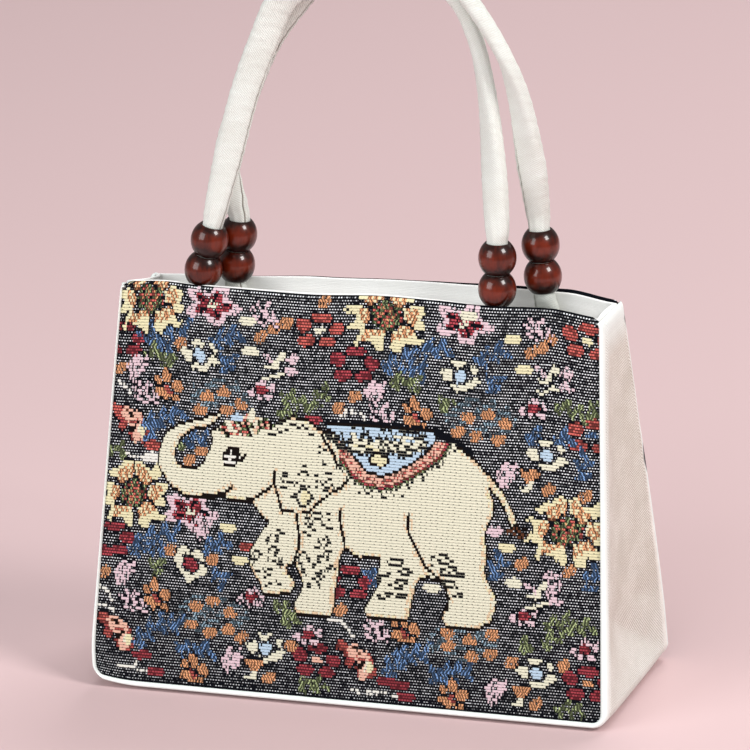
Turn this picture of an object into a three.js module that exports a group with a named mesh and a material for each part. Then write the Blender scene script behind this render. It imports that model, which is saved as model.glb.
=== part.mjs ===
// Tapestry handbag: two woven panels, a canvas gusset, a cream lining, two tube handles
// and wooden beads threaded on the handles' ends.
// Millimetres, +Z up, front towards -Y, origin on the floor under the middle of the bag.
import * as THREE from "three";

// Driving sizes of the bag's body
const GAP = 0.4;
const PANEL = {
  bottomWidth: 254,
  topWidth: 236,
  height: 187,
  wall: 2,
  cornerRadius: 5,
  sideBow: 0.3,
  belly: 2,
};
const DEPTH = { bottom: 105, mouth: 34, bow: 2.2 };
const GUSSET = { wall: 2.6, lip: 1.2, topDrop: 0.5 };
const LINING = { wall: 1.2, ease: 0.2, topDrop: 2 };

// How the soft body settles: the middle of its depth leans back half way up,
// and the mouth's back left corner is drawn in
const SETTLE = { leanBack: 1.8, drawIn: 5 };

// How far the mouth's edges stand above or below their mean height, from left to right
const MOUTH_EDGE = [
  { x: -118, front: 1.2, back: -3.8 },
  { x: -97, front: 2.4, back: -3.0 },
  { x: -77, front: 1.2, back: -2.1 },
  { x: -27, front: 0.5, back: 0.5 },
  { x: 13, front: 2.4, back: 1.6 },
  { x: 33, front: 2.0, back: 2.0 },
  { x: 63, front: 1.0, back: 2.6 },
  { x: 92, front: 2.0, back: 2.6 },
  { x: 118, front: -1.0, back: -1.0 },
];

// Heights where the gusset's sides are pressed in, and how far at the middle of the depth
const SIDE_FOLDS = [
  { height: 8, dent: 0 },
  { height: 34, dent: 1 },
  { height: 60, dent: 3.4 },
  { height: 110, dent: 4.6 },
  { height: 160, dent: 4.2 },
  { height: 190, dent: 5.6 },
];

// Shares of that dent half way from the middle of the depth to a panel, and at the middle
const PRESS = { halfWay: 0.75, middle: 1 };

// Rounded lip along each edge of the gusset: distance in from the edge,
// and how far the strip's outer and inner faces are drawn together there
const LIP_PROFILE = [
  { inset: 0, outer: 1.1, inner: 0.7 },
  { inset: 0.6, outer: 0.3, inner: 0.1 },
];

// Steps of the faceted walls
const STEPS = { across: 8, up: 10, corner: 4, base: 6, ring: 10, bead: 16, beadProfile: 7 };

// Beads: outer radius, radius of the hole, half height at the hole's rim, pitch along the handle
const BEAD = { radius: 9, hole: 5.15, rim: 7.2, pitch: 15.2 };

// Handle sections: half width, half thickness and turn of the wide side from the arch's plane
const SECTION = {
  tabEnd: { wide: 6.4, thick: 1.8, turn: 0 },
  tabTop: { wide: 6.0, thick: 2.4, turn: 0 },
  neck: { wide: 4.6, thick: 4.6, turn: 0 },
  above: { wide: 5.3, thick: 4.5, turn: 0 },
  arch: { wide: 6.1, thick: 3.8 },
};
const TAB = { endHeight: 164, topHeight: 177 };
const LEG = { footDrop: 8.6, neckRise: 8.4, aboveRise: 14 };

// Each leg starts at its lower bead; lean is the sideways run for each unit of rise.
// The arch's rows run from the left leg over the top to the right leg.
const HANDLES = [
  {
    name: "front",
    side: -1,
    left: { x: -80.1, y: -7.6, z: 197.0, lean: 0.24 },
    right: { x: 65.4, y: -8.1, z: 197.4, lean: 0.02 },
    arch: [
      { x: -66.4, y: -7.0, z: 252.0, turn: 0 },
      { x: -56.5, y: -6.7, z: 286.0, turn: 0 },
      { x: -47.2, y: -6.5, z: 310.0, turn: 10 },
      { x: -38.1, y: -6.5, z: 329.0, turn: 20 },
      { x: -22.0, y: -5.5, z: 341.5, turn: 35 },
      { x: 4.0, y: 0.0, z: 347.0, turn: 55 },
      { x: 28.0, y: 4.5, z: 342.5, turn: 70 },
      { x: 43.9, y: 5.5, z: 331.0, turn: 78 },
      { x: 52.5, y: 4.2, z: 314.8, turn: 75 },
      { x: 58.8, y: 1.0, z: 290.6, turn: 55 },
      { x: 63.5, y: -4.0, z: 255.0, turn: 30 },
    ],
  },
  {
    name: "back",
    side: 1,
    left: { x: -69.4, y: 8.7, z: 195.6, lean: 0.1 },
    right: { x: 82.7, y: 8.3, z: 200.4, lean: -0.06 },
    arch: [
      { x: -70.2, y: 6.8, z: 246.0, turn: 15 },
      { x: -60.7, y: 6.4, z: 282.5, turn: 15 },
      { x: -49.2, y: 6.5, z: 308.0, turn: 20 },
      { x: -35.2, y: 6.5, z: 326.7, turn: 30 },
      { x: -20.0, y: 5.5, z: 343.5, turn: 40 },
      { x: 8.0, y: 0.0, z: 359.5, turn: 55 },
      { x: 34.0, y: -5.0, z: 354.0, turn: 70 },
      { x: 53.0, y: -6.0, z: 335.0, turn: 80 },
      { x: 69.0, y: -5.0, z: 309.6, turn: 70 },
      { x: 74.9, y: -3.0, z: 292.5, turn: 45 },
      { x: 80.1, y: 2.0, z: 254.5, turn: 5 },
    ],
  },
];
const HANDLE_STEPS = 52;

// Finishes, by eye from the bag
const FINISH = {
  tapestry: { color: 0x2b2d38, roughness: 0.9, metalness: 0 },
  canvas: { color: 0xeee7dc, roughness: 0.85, metalness: 0 },
  lining: { color: 0xf2eee6, roughness: 0.85, metalness: 0 },
  wood: { color: 0x5a2414, roughness: 0.25, metalness: 0 },
};
const material = Object.fromEntries(
  Object.entries(FINISH).map(([slot, look]) => [slot, new THREE.MeshStandardMaterial(look)]),
);

// The panels' lower edge stands on the gusset's floor
const baseHeight = GUSSET.wall + GAP;
const topHeight = baseHeight + PANEL.height;

// Share of the panel's height at a height, and the swell that is greatest half way up
function rise(z) {
  return (z - baseHeight) / PANEL.height;
}

function swell(z) {
  return Math.sin(Math.PI * THREE.MathUtils.clamp(rise(z), 0, 1));
}

// Half width of the panel's outline and half depth of the bag at a height
function halfWidth(z) {
  const straight = THREE.MathUtils.lerp(PANEL.bottomWidth, PANEL.topWidth, rise(z)) / 2;
  return straight + PANEL.sideBow * swell(z);
}

function halfDepth(z) {
  return THREE.MathUtils.lerp(DEPTH.bottom, DEPTH.mouth, rise(z)) / 2 + DEPTH.bow * swell(z);
}

// How far a panel bulges at a share of its half width, from -1 to 1
function belly(share, z) {
  return PANEL.belly * (1 - share * share) * swell(z);
}

// A column of a table at a value of its key, eased between the rows and held past its ends
function readTable(table, key, column, value) {
  const next = table.findIndex((row) => row[key] >= value);
  if (next === 0) {
    return table[0][column];
  }
  if (next < 0) {
    return table.at(-1)[column];
  }
  const [low, high] = [table[next - 1], table[next]];
  const share = THREE.MathUtils.smoothstep(value, low[key], high[key]);
  return THREE.MathUtils.lerp(low[column], high[column], share);
}

// How far the gusset's side is pressed in at a height
function sideDent(z) {
  return readTable(SIDE_FOLDS, "height", "dent", z);
}

// Move a point of the regular body to where the soft bag settles
function settle(point) {
  const up = THREE.MathUtils.clamp(rise(point.z), 0, 1);
  const back = THREE.MathUtils.clamp(0.5 + point.y / (2 * halfDepth(point.z)), 0, 1);
  const left = Math.max(0, -point.x / halfWidth(point.z));
  const frontLift = readTable(MOUTH_EDGE, "x", "front", point.x);
  const backLift = readTable(MOUTH_EDGE, "x", "back", point.x);
  const lift = up ** 2 * THREE.MathUtils.lerp(frontLift, backLift, back);
  const inward = SETTLE.drawIn * up ** 3 * back * left ** 2;
  return point.set(
    point.x + inward,
    point.y + SETTLE.leanBack * swell(point.z),
    point.z + lift,
  );
}

function settleGeometry(geometry) {
  const position = geometry.getAttribute("position");
  const point = new THREE.Vector3();
  for (let i = 0; i < position.count; i += 1) {
    settle(point.fromBufferAttribute(position, i));
    position.setXYZ(i, point.x, point.y, point.z);
  }
  return geometry;
}

// Right half of the panel's outline from the base to a top height:
// a quarter circle at the corner, then the bowed side, each row with its outward normal.
function edgeRows(top) {
  const r = PANEL.cornerRadius;
  const cornerTop = baseHeight + r;
  const rows = [];
  for (let i = 0; i < STEPS.corner; i += 1) {
    const angle = (Math.PI / 2) * (i / STEPS.corner);
    rows.push({
      z: baseHeight + r * (1 - Math.cos(angle)),
      half: halfWidth(cornerTop) - r * (1 - Math.sin(angle)),
      nx: Math.sin(angle),
      nz: -Math.cos(angle),
    });
  }
  for (let i = 0; i <= STEPS.up; i += 1) {
    const z = THREE.MathUtils.lerp(cornerTop, top, i / STEPS.up);
    rows.push({ z, half: halfWidth(z), nx: 1, nz: 0 });
  }
  return rows;
}

// Closed body through rings of points, with a fan at each end
function loft(rings) {
  const count = rings[0].length;
  const points = rings.flat();
  const index = [];
  for (let i = 0; i + 1 < rings.length; i += 1) {
    for (let j = 0; j < count; j += 1) {
      const a = i * count + j;
      const b = i * count + ((j + 1) % count);
      index.push(a, b, b + count, a, b + count, a + count);
    }
  }
  const addCap = (ring, start, flip) => {
    const centre = ring.reduce((sum, p) => sum.add(p), new THREE.Vector3()).divideScalar(count);
    const hub = points.push(centre) - 1;
    for (let j = 0; j < count; j += 1) {
      const [a, b] = [start + j, start + ((j + 1) % count)];
      index.push(hub, ...(flip ? [b, a] : [a, b]));
    }
  };
  addCap(rings[0], 0, true);
  addCap(rings.at(-1), (rings.length - 1) * count, false);
  return new THREE.BufferGeometry().setFromPoints(points).setIndex(index);
}

// Closed wall through rows that hold an outer and an inner line of as many points
function wall(rows) {
  const count = rows[0].outer.length;
  const points = rows.flatMap((row) => [...row.outer, ...row.inner]);
  const at = (row, column, isInner) => row * 2 * count + (isInner ? count : 0) + column;
  const index = [];
  const quad = (a, b, c, d) => index.push(a, b, c, a, c, d);
  const last = rows.length - 1;
  for (let i = 0; i < last; i += 1) {
    for (let j = 0; j + 1 < count; j += 1) {
      quad(at(i, j, false), at(i, j + 1, false), at(i + 1, j + 1, false), at(i + 1, j, false));
      quad(at(i, j, true), at(i + 1, j, true), at(i + 1, j + 1, true), at(i, j + 1, true));
    }
    const end = count - 1;
    quad(at(i, 0, true), at(i, 0, false), at(i + 1, 0, false), at(i + 1, 0, true));
    quad(at(i, end, false), at(i, end, true), at(i + 1, end, true), at(i + 1, end, false));
  }
  for (let j = 0; j + 1 < count; j += 1) {
    quad(at(0, j, true), at(0, j + 1, true), at(0, j + 1, false), at(0, j, false));
    quad(at(last, j, false), at(last, j + 1, false), at(last, j + 1, true), at(last, j, true));
  }
  return new THREE.BufferGeometry().setFromPoints(points).setIndex(index);
}

function makeMesh(name, geometry, slot) {
  geometry.computeVertexNormals();
  const mesh = new THREE.Mesh(geometry, material[slot]);
  mesh.name = name;
  return mesh;
}

// Shares of the half width, from the left edge to the right
function sharesAcross() {
  return Array.from({ length: STEPS.across + 1 }, (_, i) => (2 * i) / STEPS.across - 1);
}

// Front panel: rows from the base to the mouth, bulging a little towards the front
function panelGeometry() {
  const rows = edgeRows(topHeight).map(({ z, half }) => {
    const outer = sharesAcross().map(
      (share) => new THREE.Vector3(share * half, -halfDepth(z) - belly(share, z), z),
    );
    const inner = outer.map((p) => new THREE.Vector3(p.x, p.y + PANEL.wall, p.z));
    return { outer, inner };
  });
  return wall(rows);
}

// Gusset: one strip down the left side, under the base and up the right side.
// Its edges are rounded lips that frame the panels.
function gussetGeometry() {
  const right = edgeRows(topHeight - GUSSET.topDrop).map((row) => ({ ...row, x: row.half }));
  const left = right.map((row) => ({ ...row, x: -row.half, nx: -row.nx })).reverse();
  const baseHalf = right[0].half;
  const base = Array.from({ length: STEPS.base - 1 }, (_, i) => ({
    ...right[0],
    x: THREE.MathUtils.lerp(-baseHalf, baseHalf, (i + 1) / STEPS.base),
  }));
  const outerFace = GAP + GUSSET.wall;
  const rows = [...left, ...base, ...right].map((station) => {
    const depth = halfDepth(station.z);
    const edge = depth + GUSSET.lip;
    const dent = sideDent(station.z);
    const pressed = (y, press) => ({ y, out: outerFace - press * dent, inn: GAP - press * dent });
    const lip = LIP_PROFILE.map(({ inset, outer, inner }) => ({
      y: inset - edge,
      out: outerFace - outer,
      inn: GAP + inner,
    }));
    const frontHalf = [
      ...lip,
      pressed(PANEL.wall + GAP - depth, 0),
      pressed(-depth / 2, PRESS.halfWay),
    ];
    const backHalf = frontHalf.map((point) => ({ ...point, y: -point.y })).reverse();
    const section = [...frontHalf, pressed(0, PRESS.middle), ...backHalf];
    const place = (y, offset) =>
      new THREE.Vector3(station.x + offset * station.nx, y, station.z + offset * station.nz);
    return {
      outer: section.map(({ y, out }) => place(y, out)),
      inner: section.map(({ y, inn }) => place(y, inn)),
    };
  });
  return wall(rows);
}

// One ring of the lining's pouch: along the front, up the depth, along the back and down again
function liningRing(row, inset) {
  const z = row.z - inset * row.nz;
  const half = row.half - inset * row.nx;
  const outerDepth = halfDepth(z);
  const depth = outerDepth - PANEL.wall - GAP - inset;
  const dent = sideDent(z);
  const along = sharesAcross().map(
    (share) => new THREE.Vector3(share * half, -depth - belly(share, z), z),
  );
  const sides = [
    { y: -outerDepth / 2, press: PRESS.halfWay },
    { y: 0, press: PRESS.middle },
    { y: outerDepth / 2, press: PRESS.halfWay },
  ].map(({ y, press }) => new THREE.Vector3(half - press * dent, y, z));
  const halfRing = [...along, ...sides];
  const turned = halfRing.map((p) => new THREE.Vector3(-p.x, -p.y, p.z));
  return [...halfRing, ...turned];
}

function liningGeometry() {
  const rows = edgeRows(topHeight - LINING.topDrop);
  const outer = rows.map((row) => liningRing(row, LINING.ease));
  const inner = rows.map((row) => liningRing(row, LINING.ease + LINING.wall)).reverse();
  return loft([...outer, ...inner]);
}

// Depth of a handle's flat end where it lies on the lining
function tabDepth(z, thick) {
  return halfDepth(z) - PANEL.wall - GAP - LINING.ease - LINING.wall - GAP - thick;
}

// Direction of a leg, from its lower bead to its upper one
function legDirection(leg) {
  return new THREE.Vector3(leg.lean, 0, 1).normalize();
}

// Points of one leg from its sewn end to just above its upper bead, each with its section
function legRows(leg, side) {
  const up = legDirection(leg);
  const lower = new THREE.Vector3(leg.x, leg.y, leg.z);
  const along = (distance) => lower.clone().addScaledVector(up, distance);
  const tab = (z, section) => {
    const x = leg.x + leg.lean * (z - leg.z);
    return settle(new THREE.Vector3(x, side * tabDepth(z, section.thick), z));
  };
  return [
    { at: tab(TAB.endHeight, SECTION.tabEnd), ...SECTION.tabEnd },
    { at: tab(TAB.topHeight, SECTION.tabTop), ...SECTION.tabTop },
    { at: along(-LEG.footDrop), ...SECTION.neck },
    { at: along(0), ...SECTION.neck },
    { at: along(BEAD.pitch), ...SECTION.neck },
    { at: along(BEAD.pitch + LEG.neckRise), ...SECTION.neck },
    { at: along(BEAD.pitch + LEG.aboveRise), ...SECTION.above },
  ];
}

// Handle: an oval section carried along a smooth curve through the legs and the arch
function handleGeometry(handle) {
  const rows = [
    ...legRows(handle.left, handle.side),
    ...handle.arch.map(({ x, y, z, turn }) => ({
      at: new THREE.Vector3(x, y, z),
      ...SECTION.arch,
      turn,
    })),
    ...legRows(handle.right, handle.side).reverse(),
  ];
  const curve = new THREE.CatmullRomCurve3(
    rows.map((row) => row.at),
    false,
    "centripetal",
  );
  const depthAxis = new THREE.Vector3(0, 1, 0);
  const rings = [];
  for (let i = 0; i <= HANDLE_STEPS; i += 1) {
    const share = curve.getUtoTmapping(i / HANDLE_STEPS);
    const place = share * (rows.length - 1);
    const before = Math.min(Math.floor(place), rows.length - 2);
    const blend = place - before;
    const mix = (key) => THREE.MathUtils.lerp(rows[before][key], rows[before + 1][key], blend);
    const centre = curve.getPoint(share);
    const tangent = curve.getTangent(share);
    const outward = new THREE.Vector3().crossVectors(tangent, depthAxis).normalize();
    const across = new THREE.Vector3().crossVectors(tangent, outward);
    const turn = THREE.MathUtils.degToRad(mix("turn"));
    const wideAxis = outward.clone().multiplyScalar(Math.cos(turn));
    wideAxis.addScaledVector(across, Math.sin(turn));
    const thinAxis = new THREE.Vector3().crossVectors(tangent, wideAxis);
    const ring = Array.from({ length: STEPS.ring }, (_, j) => {
      const angle = (2 * Math.PI * j) / STEPS.ring;
      return centre
        .clone()
        .addScaledVector(wideAxis, mix("wide") * Math.cos(angle))
        .addScaledVector(thinAxis, mix("thick") * Math.sin(angle));
    });
    rings.push(ring);
  }
  return loft(rings);
}

// Bead: a round outside with a straight hole, turned about its own axis
function beadGeometry() {
  const rimAngle = Math.acos(BEAD.hole / BEAD.radius);
  const halfHeight = BEAD.rim / Math.sin(rimAngle);
  const profile = [];
  for (let i = 0; i <= STEPS.beadProfile; i += 1) {
    const angle = THREE.MathUtils.lerp(-rimAngle, rimAngle, i / STEPS.beadProfile);
    profile.push(new THREE.Vector2(BEAD.radius * Math.cos(angle), halfHeight * Math.sin(angle)));
  }
  profile.push(profile[0].clone());
  return new THREE.LatheGeometry(profile, STEPS.bead);
}

// Two beads on each leg, in line with it
function makeBeads(handle) {
  const group = new THREE.Group();
  for (const legName of ["left", "right"]) {
    const leg = handle[legName];
    const up = legDirection(leg);
    ["lower", "upper"].forEach((level, i) => {
      const bead = makeMesh(`${handle.name}_${legName}_${level}_bead`, beadGeometry(), "wood");
      bead.position.set(leg.x, leg.y, leg.z).addScaledVector(up, i * BEAD.pitch);
      bead.quaternion.setFromUnitVectors(new THREE.Vector3(0, 1, 0), up);
      group.add(bead);
    });
  }
  return group;
}

function makeBody() {
  const group = new THREE.Group();
  const pieces = [
    { name: "front_panel", geometry: panelGeometry(), slot: "tapestry" },
    { name: "back_panel", geometry: panelGeometry().rotateZ(Math.PI), slot: "tapestry" },
    { name: "gusset", geometry: gussetGeometry(), slot: "canvas" },
    { name: "lining", geometry: liningGeometry(), slot: "lining" },
  ];
  for (const { name, geometry, slot } of pieces) {
    group.add(makeMesh(name, settleGeometry(geometry), slot));
  }
  return group;
}

const bag = new THREE.Group();
bag.add(makeBody());
for (const handle of HANDLES) {
  const group = new THREE.Group();
  group.add(makeMesh(`${handle.name}_handle`, handleGeometry(handle), "canvas"));
  group.add(makeBeads(handle));
  bag.add(group);
}

export default bag;
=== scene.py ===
"""Tapestry handbag: woven panels, canvas gusset, cream lining, tube handles and wooden beads.

Sizes are in millimetres, as the bag is cut and sewn, and each mesh is made in metres.
+Z is up, the front faces -Y, and the origin lies on the floor under the middle of the bag.
"""
import logging
from dataclasses import dataclass
from enum import Enum
from typing import NamedTuple

import bpy
import numpy as np
from mathutils import Matrix, Vector


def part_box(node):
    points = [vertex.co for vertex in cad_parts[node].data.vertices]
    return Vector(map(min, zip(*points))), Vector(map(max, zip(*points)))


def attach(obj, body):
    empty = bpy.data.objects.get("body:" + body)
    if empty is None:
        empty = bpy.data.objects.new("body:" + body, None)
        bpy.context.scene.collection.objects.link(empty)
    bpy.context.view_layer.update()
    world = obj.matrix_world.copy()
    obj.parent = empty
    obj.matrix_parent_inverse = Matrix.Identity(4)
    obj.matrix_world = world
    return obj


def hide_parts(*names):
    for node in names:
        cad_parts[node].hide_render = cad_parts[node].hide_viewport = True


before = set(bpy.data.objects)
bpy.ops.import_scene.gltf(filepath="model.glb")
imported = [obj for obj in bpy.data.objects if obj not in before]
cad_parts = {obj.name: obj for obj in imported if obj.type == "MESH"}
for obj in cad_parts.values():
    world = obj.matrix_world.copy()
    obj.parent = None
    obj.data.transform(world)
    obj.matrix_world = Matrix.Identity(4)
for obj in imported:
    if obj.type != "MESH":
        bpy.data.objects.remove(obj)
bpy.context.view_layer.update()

LOG = logging.getLogger("handbag")
MM = 0.001
BODY = "root"
BAKE_MAP = "OFBake"

Array = np.ndarray
Points = list[tuple[float, float]]
Colour = tuple[float, float, float, float]
Triple = tuple[float, float, float]
Socket = bpy.types.NodeSocket
Material = bpy.types.Material
Piece = bpy.types.Object


def colour_of(code: str) -> Colour:
    """Turn a six-digit screen colour into linear light.

    Args:
        code: Red, green and blue as pairs of hexadecimal digits.

    Returns:
        Linear red, green, blue and a full alpha.
    """
    screen = np.array([int(code[i : i + 2], 16) for i in (0, 2, 4)]) / 255
    light = np.where(screen <= 0.04045, screen / 12.92, ((screen + 0.055) / 1.055) ** 2.4)
    return (*light.tolist(), 1.0)


def eased(value: Array, keys: Array, column: Array) -> Array:
    """Read a column of a table, eased between its rows and held past its ends.

    Args:
        value: Where to read.
        keys: The table's rising keys.
        column: The numbers that belong to the keys.

    Returns:
        The column's numbers at the values, along an S-shaped step between each two rows.
    """
    high = np.clip(np.searchsorted(keys, value), 1, len(keys) - 1)
    low = high - 1
    share = unit((value - keys[low]) / (keys[high] - keys[low]))
    return column[low] + (column[high] - column[low]) * share**2 * (3 - 2 * share)


def bell(distance: Array, width: float) -> Array:
    """Smooth hill of height one that falls off over a width: exp(-(distance / width)^2)."""
    return np.exp(-((distance / width) ** 2))


def unit(value: Array) -> Array:
    """Value held between 0 and 1."""
    return np.clip(value, 0, 1)


def climbed(value: Array, start: float, full: float) -> Array:
    """Share of the way from a start to where it is full, held between 0 and 1."""
    return unit((value - start) / (full - start))


def mirrored(half: Array) -> Array:
    """A line followed by itself backwards, with its last number only once."""
    return np.append(half, half[-2::-1])


def length_so_far(line: Array) -> Array:
    """Distance from the start of a line of points to each of them."""
    return np.append(0, np.cumsum(np.linalg.norm(np.diff(line, axis=0), axis=1)))


def ringed(grid: Array) -> Array:
    """A grid with its first column once more behind the last."""
    return np.concatenate([grid, grid[:, :1]], axis=1)


class MouthPoint(NamedTuple):
    """How far the mouth's front and back edges stand above their mean height at a place across."""

    x: float
    front: float
    back: float


class SideFold(NamedTuple):
    """How far the gusset's left side is pressed in at a height, half way through the depth."""

    height: float
    dent: float


class Crease(NamedTuple):
    """Soft valley on the right side, from one point of its depth and height to another."""

    y0: float
    z0: float
    y1: float
    z1: float
    width: float
    depth: float


MOUTH_EDGE = (
    MouthPoint(-118, 1.2, -3.8),
    MouthPoint(-97, 2.4, -3.0),
    MouthPoint(-77, 1.2, -2.1),
    MouthPoint(-27, 0.5, 0.5),
    MouthPoint(13, 2.4, 1.6),
    MouthPoint(33, 2.0, 2.0),
    MouthPoint(63, 1.0, 2.6),
    MouthPoint(92, 2.0, 2.6),
    MouthPoint(118, -1.0, -1.0),
)
SIDE_FOLDS = (
    SideFold(8, 0),
    SideFold(34, 1),
    SideFold(60, 3.4),
    SideFold(110, 4.6),
    SideFold(160, 4.2),
    SideFold(190, 5.6),
)
CREASES = (
    Crease(6, 47, 46, 36, 3.6, 0.9),
    Crease(-10, 150, -16, 76, 7.0, 0.6),
    Crease(14, 120, 24, 62, 8.0, -0.5),
)


@dataclass(frozen=True)
class BagForm:
    """Regular form of the bag's body, and how its soft walls settle.

    Heights are measured from the floor. The panels' lower edge stands on the gusset's floor.
    """

    gap: float = 0.4
    bottom_width: float = 254.0
    top_width: float = 236.0
    height: float = 187.0
    panel_wall: float = 2.0
    foot_radius: float = 5.0
    foot_tuck: float = 3.4
    tuck_reach: float = 28.0
    shoulder_radius: float = 4.5
    shoulder_turn: float = 40.0
    side_bow: float = 0.3
    belly: float = 2.0
    base_depth: float = 105.0
    mouth_depth: float = 34.0
    depth_bow: float = 2.2
    gusset_wall: float = 2.6
    lean_back: float = 1.8
    draw_in: float = 5.0
    fold_height: float = 33.0
    fold_slope: float = 0.52
    fold_dent: float = 7.0
    fold_lip: float = 3.0
    lip_reach: float = 10.0
    crease_reach: float = 0.42
    mouth_spread: float = 3.0

    @property
    def base(self) -> float:
        """Height of the panels' lower edge."""
        return self.gusset_wall + self.gap

    @property
    def top(self) -> float:
        """Mean height of the mouth."""
        return self.base + self.height

    def rise(self, z: Array) -> Array:
        """Share of the panels' height at a height."""
        return (z - self.base) / self.height

    def swell(self, z: Array) -> Array:
        """Half a sine wave over the panels' height, greatest half way up."""
        return np.sin(np.pi * unit(self.rise(z)))

    def half_width(self, z: Array) -> Array:
        """Half the panels' width: a straight taper with a slight bow."""
        straight = self.bottom_width + (self.top_width - self.bottom_width) * self.rise(z)
        return straight / 2 + self.side_bow * self.swell(z)

    def half_depth(self, z: Array) -> Array:
        """Half the bag's depth: a straight taper with a bow."""
        straight = self.base_depth + (self.mouth_depth - self.base_depth) * self.rise(z)
        return straight / 2 + self.depth_bow * self.swell(z)

    def bulge(self, share: Array, z: Array) -> Array:
        """How far a panel stands out at a share of its half width: a parabola across."""
        return self.belly * (1 - share**2) * self.swell(z)

    def corner_inset(self, z: Array) -> Array:
        """How far round corners draw the outline in: r - sqrt(r^2 - d^2), d past the corner's centre.

        Args:
            z: Heights.

        Returns:
            How far in the outline lies, by height.
        """
        foot, shoulder = self.foot_radius, self.shoulder_radius
        below = np.clip(self.base + foot - z, 0, foot)
        above = np.clip(z - self.top + shoulder, 0, shoulder)
        low = foot - np.sqrt(foot**2 - below**2)
        return low + shoulder - np.sqrt(shoulder**2 - above**2)

    def side_press(self, y: Array, z: Array, side: Array) -> Array:
        """How far a side is pressed in.

        The dent is a parabola through the depth, nothing beside the panels and full in the middle.
        On the right side it grows evenly from the base to a slanted crease, eases above the crease
        and nearly ends at the mouth. Soft creases are added to it.

        Args:
            y: Place in the depth.
            z: Height.
            side: 1 on the right side, -1 on the left, and less near the base.

        Returns:
            The inward press.
        """
        keys, dents = np.array(SIDE_FOLDS, dtype=float).T
        fold = np.maximum(self.fold_height - self.fold_slope * y, 2 * self.base)
        below = unit((z - self.base) / (fold - self.base))
        ease = self.fold_lip * (1 - np.exp(-np.maximum(z - fold, 0) / self.lip_reach))
        folded = self.fold_dent * below - ease - self.mouth_spread * unit(self.rise(z)) ** 3
        dent = np.where(side > 0, folded, eased(z, keys, dents))
        share = np.abs(y) / (self.half_depth(z) - self.panel_wall - self.gap)
        across = unit(1 - share**2)
        press = dent * across
        for crease in CREASES:
            run = np.array([crease.y1 - crease.y0, crease.z1 - crease.z0])
            along = ((y - crease.y0) * run[0] + (z - crease.z0) * run[1]) / (run @ run)
            off = ((y - crease.y0) * run[1] - (z - crease.z0) * run[0]) / np.hypot(*run)
            fade = unit(side) * bell(along - 0.5, self.crease_reach) * across**0.5
            press = press + crease.depth * bell(off, crease.width) * fade
        return press * unit(np.abs(side))

    def settle(self, points: Array) -> Array:
        """Move points of the regular body to where the soft bag settles.

        The mouth's edge rises and falls with the square of the share of height, the middle of the
        height leans back, and the back left corner of the mouth is drawn in. The front left foot is
        tucked inwards and up, by the square of what is left of the tuck's reach.

        Args:
            points: Places in the regular body, three numbers each.

        Returns:
            The settled places.
        """
        x, y, z = np.moveaxis(points, -1, 0)
        up = unit(self.rise(z))
        back = unit(0.5 + y / (2 * self.half_depth(z)))
        left = np.maximum(0, -x / self.half_width(z))
        keys, front_lift, back_lift = np.array(MOUTH_EDGE, dtype=float).T
        low, high = eased(x, keys, front_lift), eased(x, keys, back_lift)
        lift = up**2 * (low + (high - low) * back)
        inward = self.draw_in * up**3 * back * left**2
        from_foot = self.bottom_width / 2 + x + np.maximum(z, 0)
        tuck = self.foot_tuck * (1 - back) * unit(1 - from_foot / self.tuck_reach) ** 2
        return np.stack([x + inward + tuck, y + self.lean_back * self.swell(z), z + lift + tuck], axis=-1)


FORM = BagForm()


def quads(grid: Array) -> Array:
    """Corners of a grid's cells, anticlockwise from the low row and column.

    Args:
        grid: Point numbers or coordinates, by row and column.

    Returns:
        Four corners to a cell, one cell after another.
    """
    cells = np.stack([grid[:-1, :-1], grid[:-1, 1:], grid[1:, 1:], grid[1:, :-1]], axis=2)
    return cells.reshape(-1, 4, *grid.shape[2:])


# The four edges of a grid, in order round it
GRID_EDGES = (np.s_[0, :], np.s_[:, -1], np.s_[-1, ::-1], np.s_[::-1, 0])


def stitch(fine: Array, coarse: Array) -> Array:
    """Triangles between two lines that run the same way.

    Each segment of the fine line goes to the coarse point nearest to its share of the length, and
    where that point changes, a triangle takes in the coarse segment.

    Args:
        fine: Point numbers of the line with more points.
        coarse: Point numbers of the other line.

    Returns:
        Three point numbers to a triangle.
    """
    place = np.round(np.linspace(0, len(coarse) - 1, len(fine))).astype(int)
    on_fine = np.stack([fine[:-1], fine[1:], coarse[place[:-1]]], axis=1)
    step = np.flatnonzero(np.diff(place))
    on_coarse = np.stack([fine[step + 1], coarse[place[step + 1]], coarse[place[step]]], axis=1)
    return np.concatenate([on_fine, on_coarse])


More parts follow.
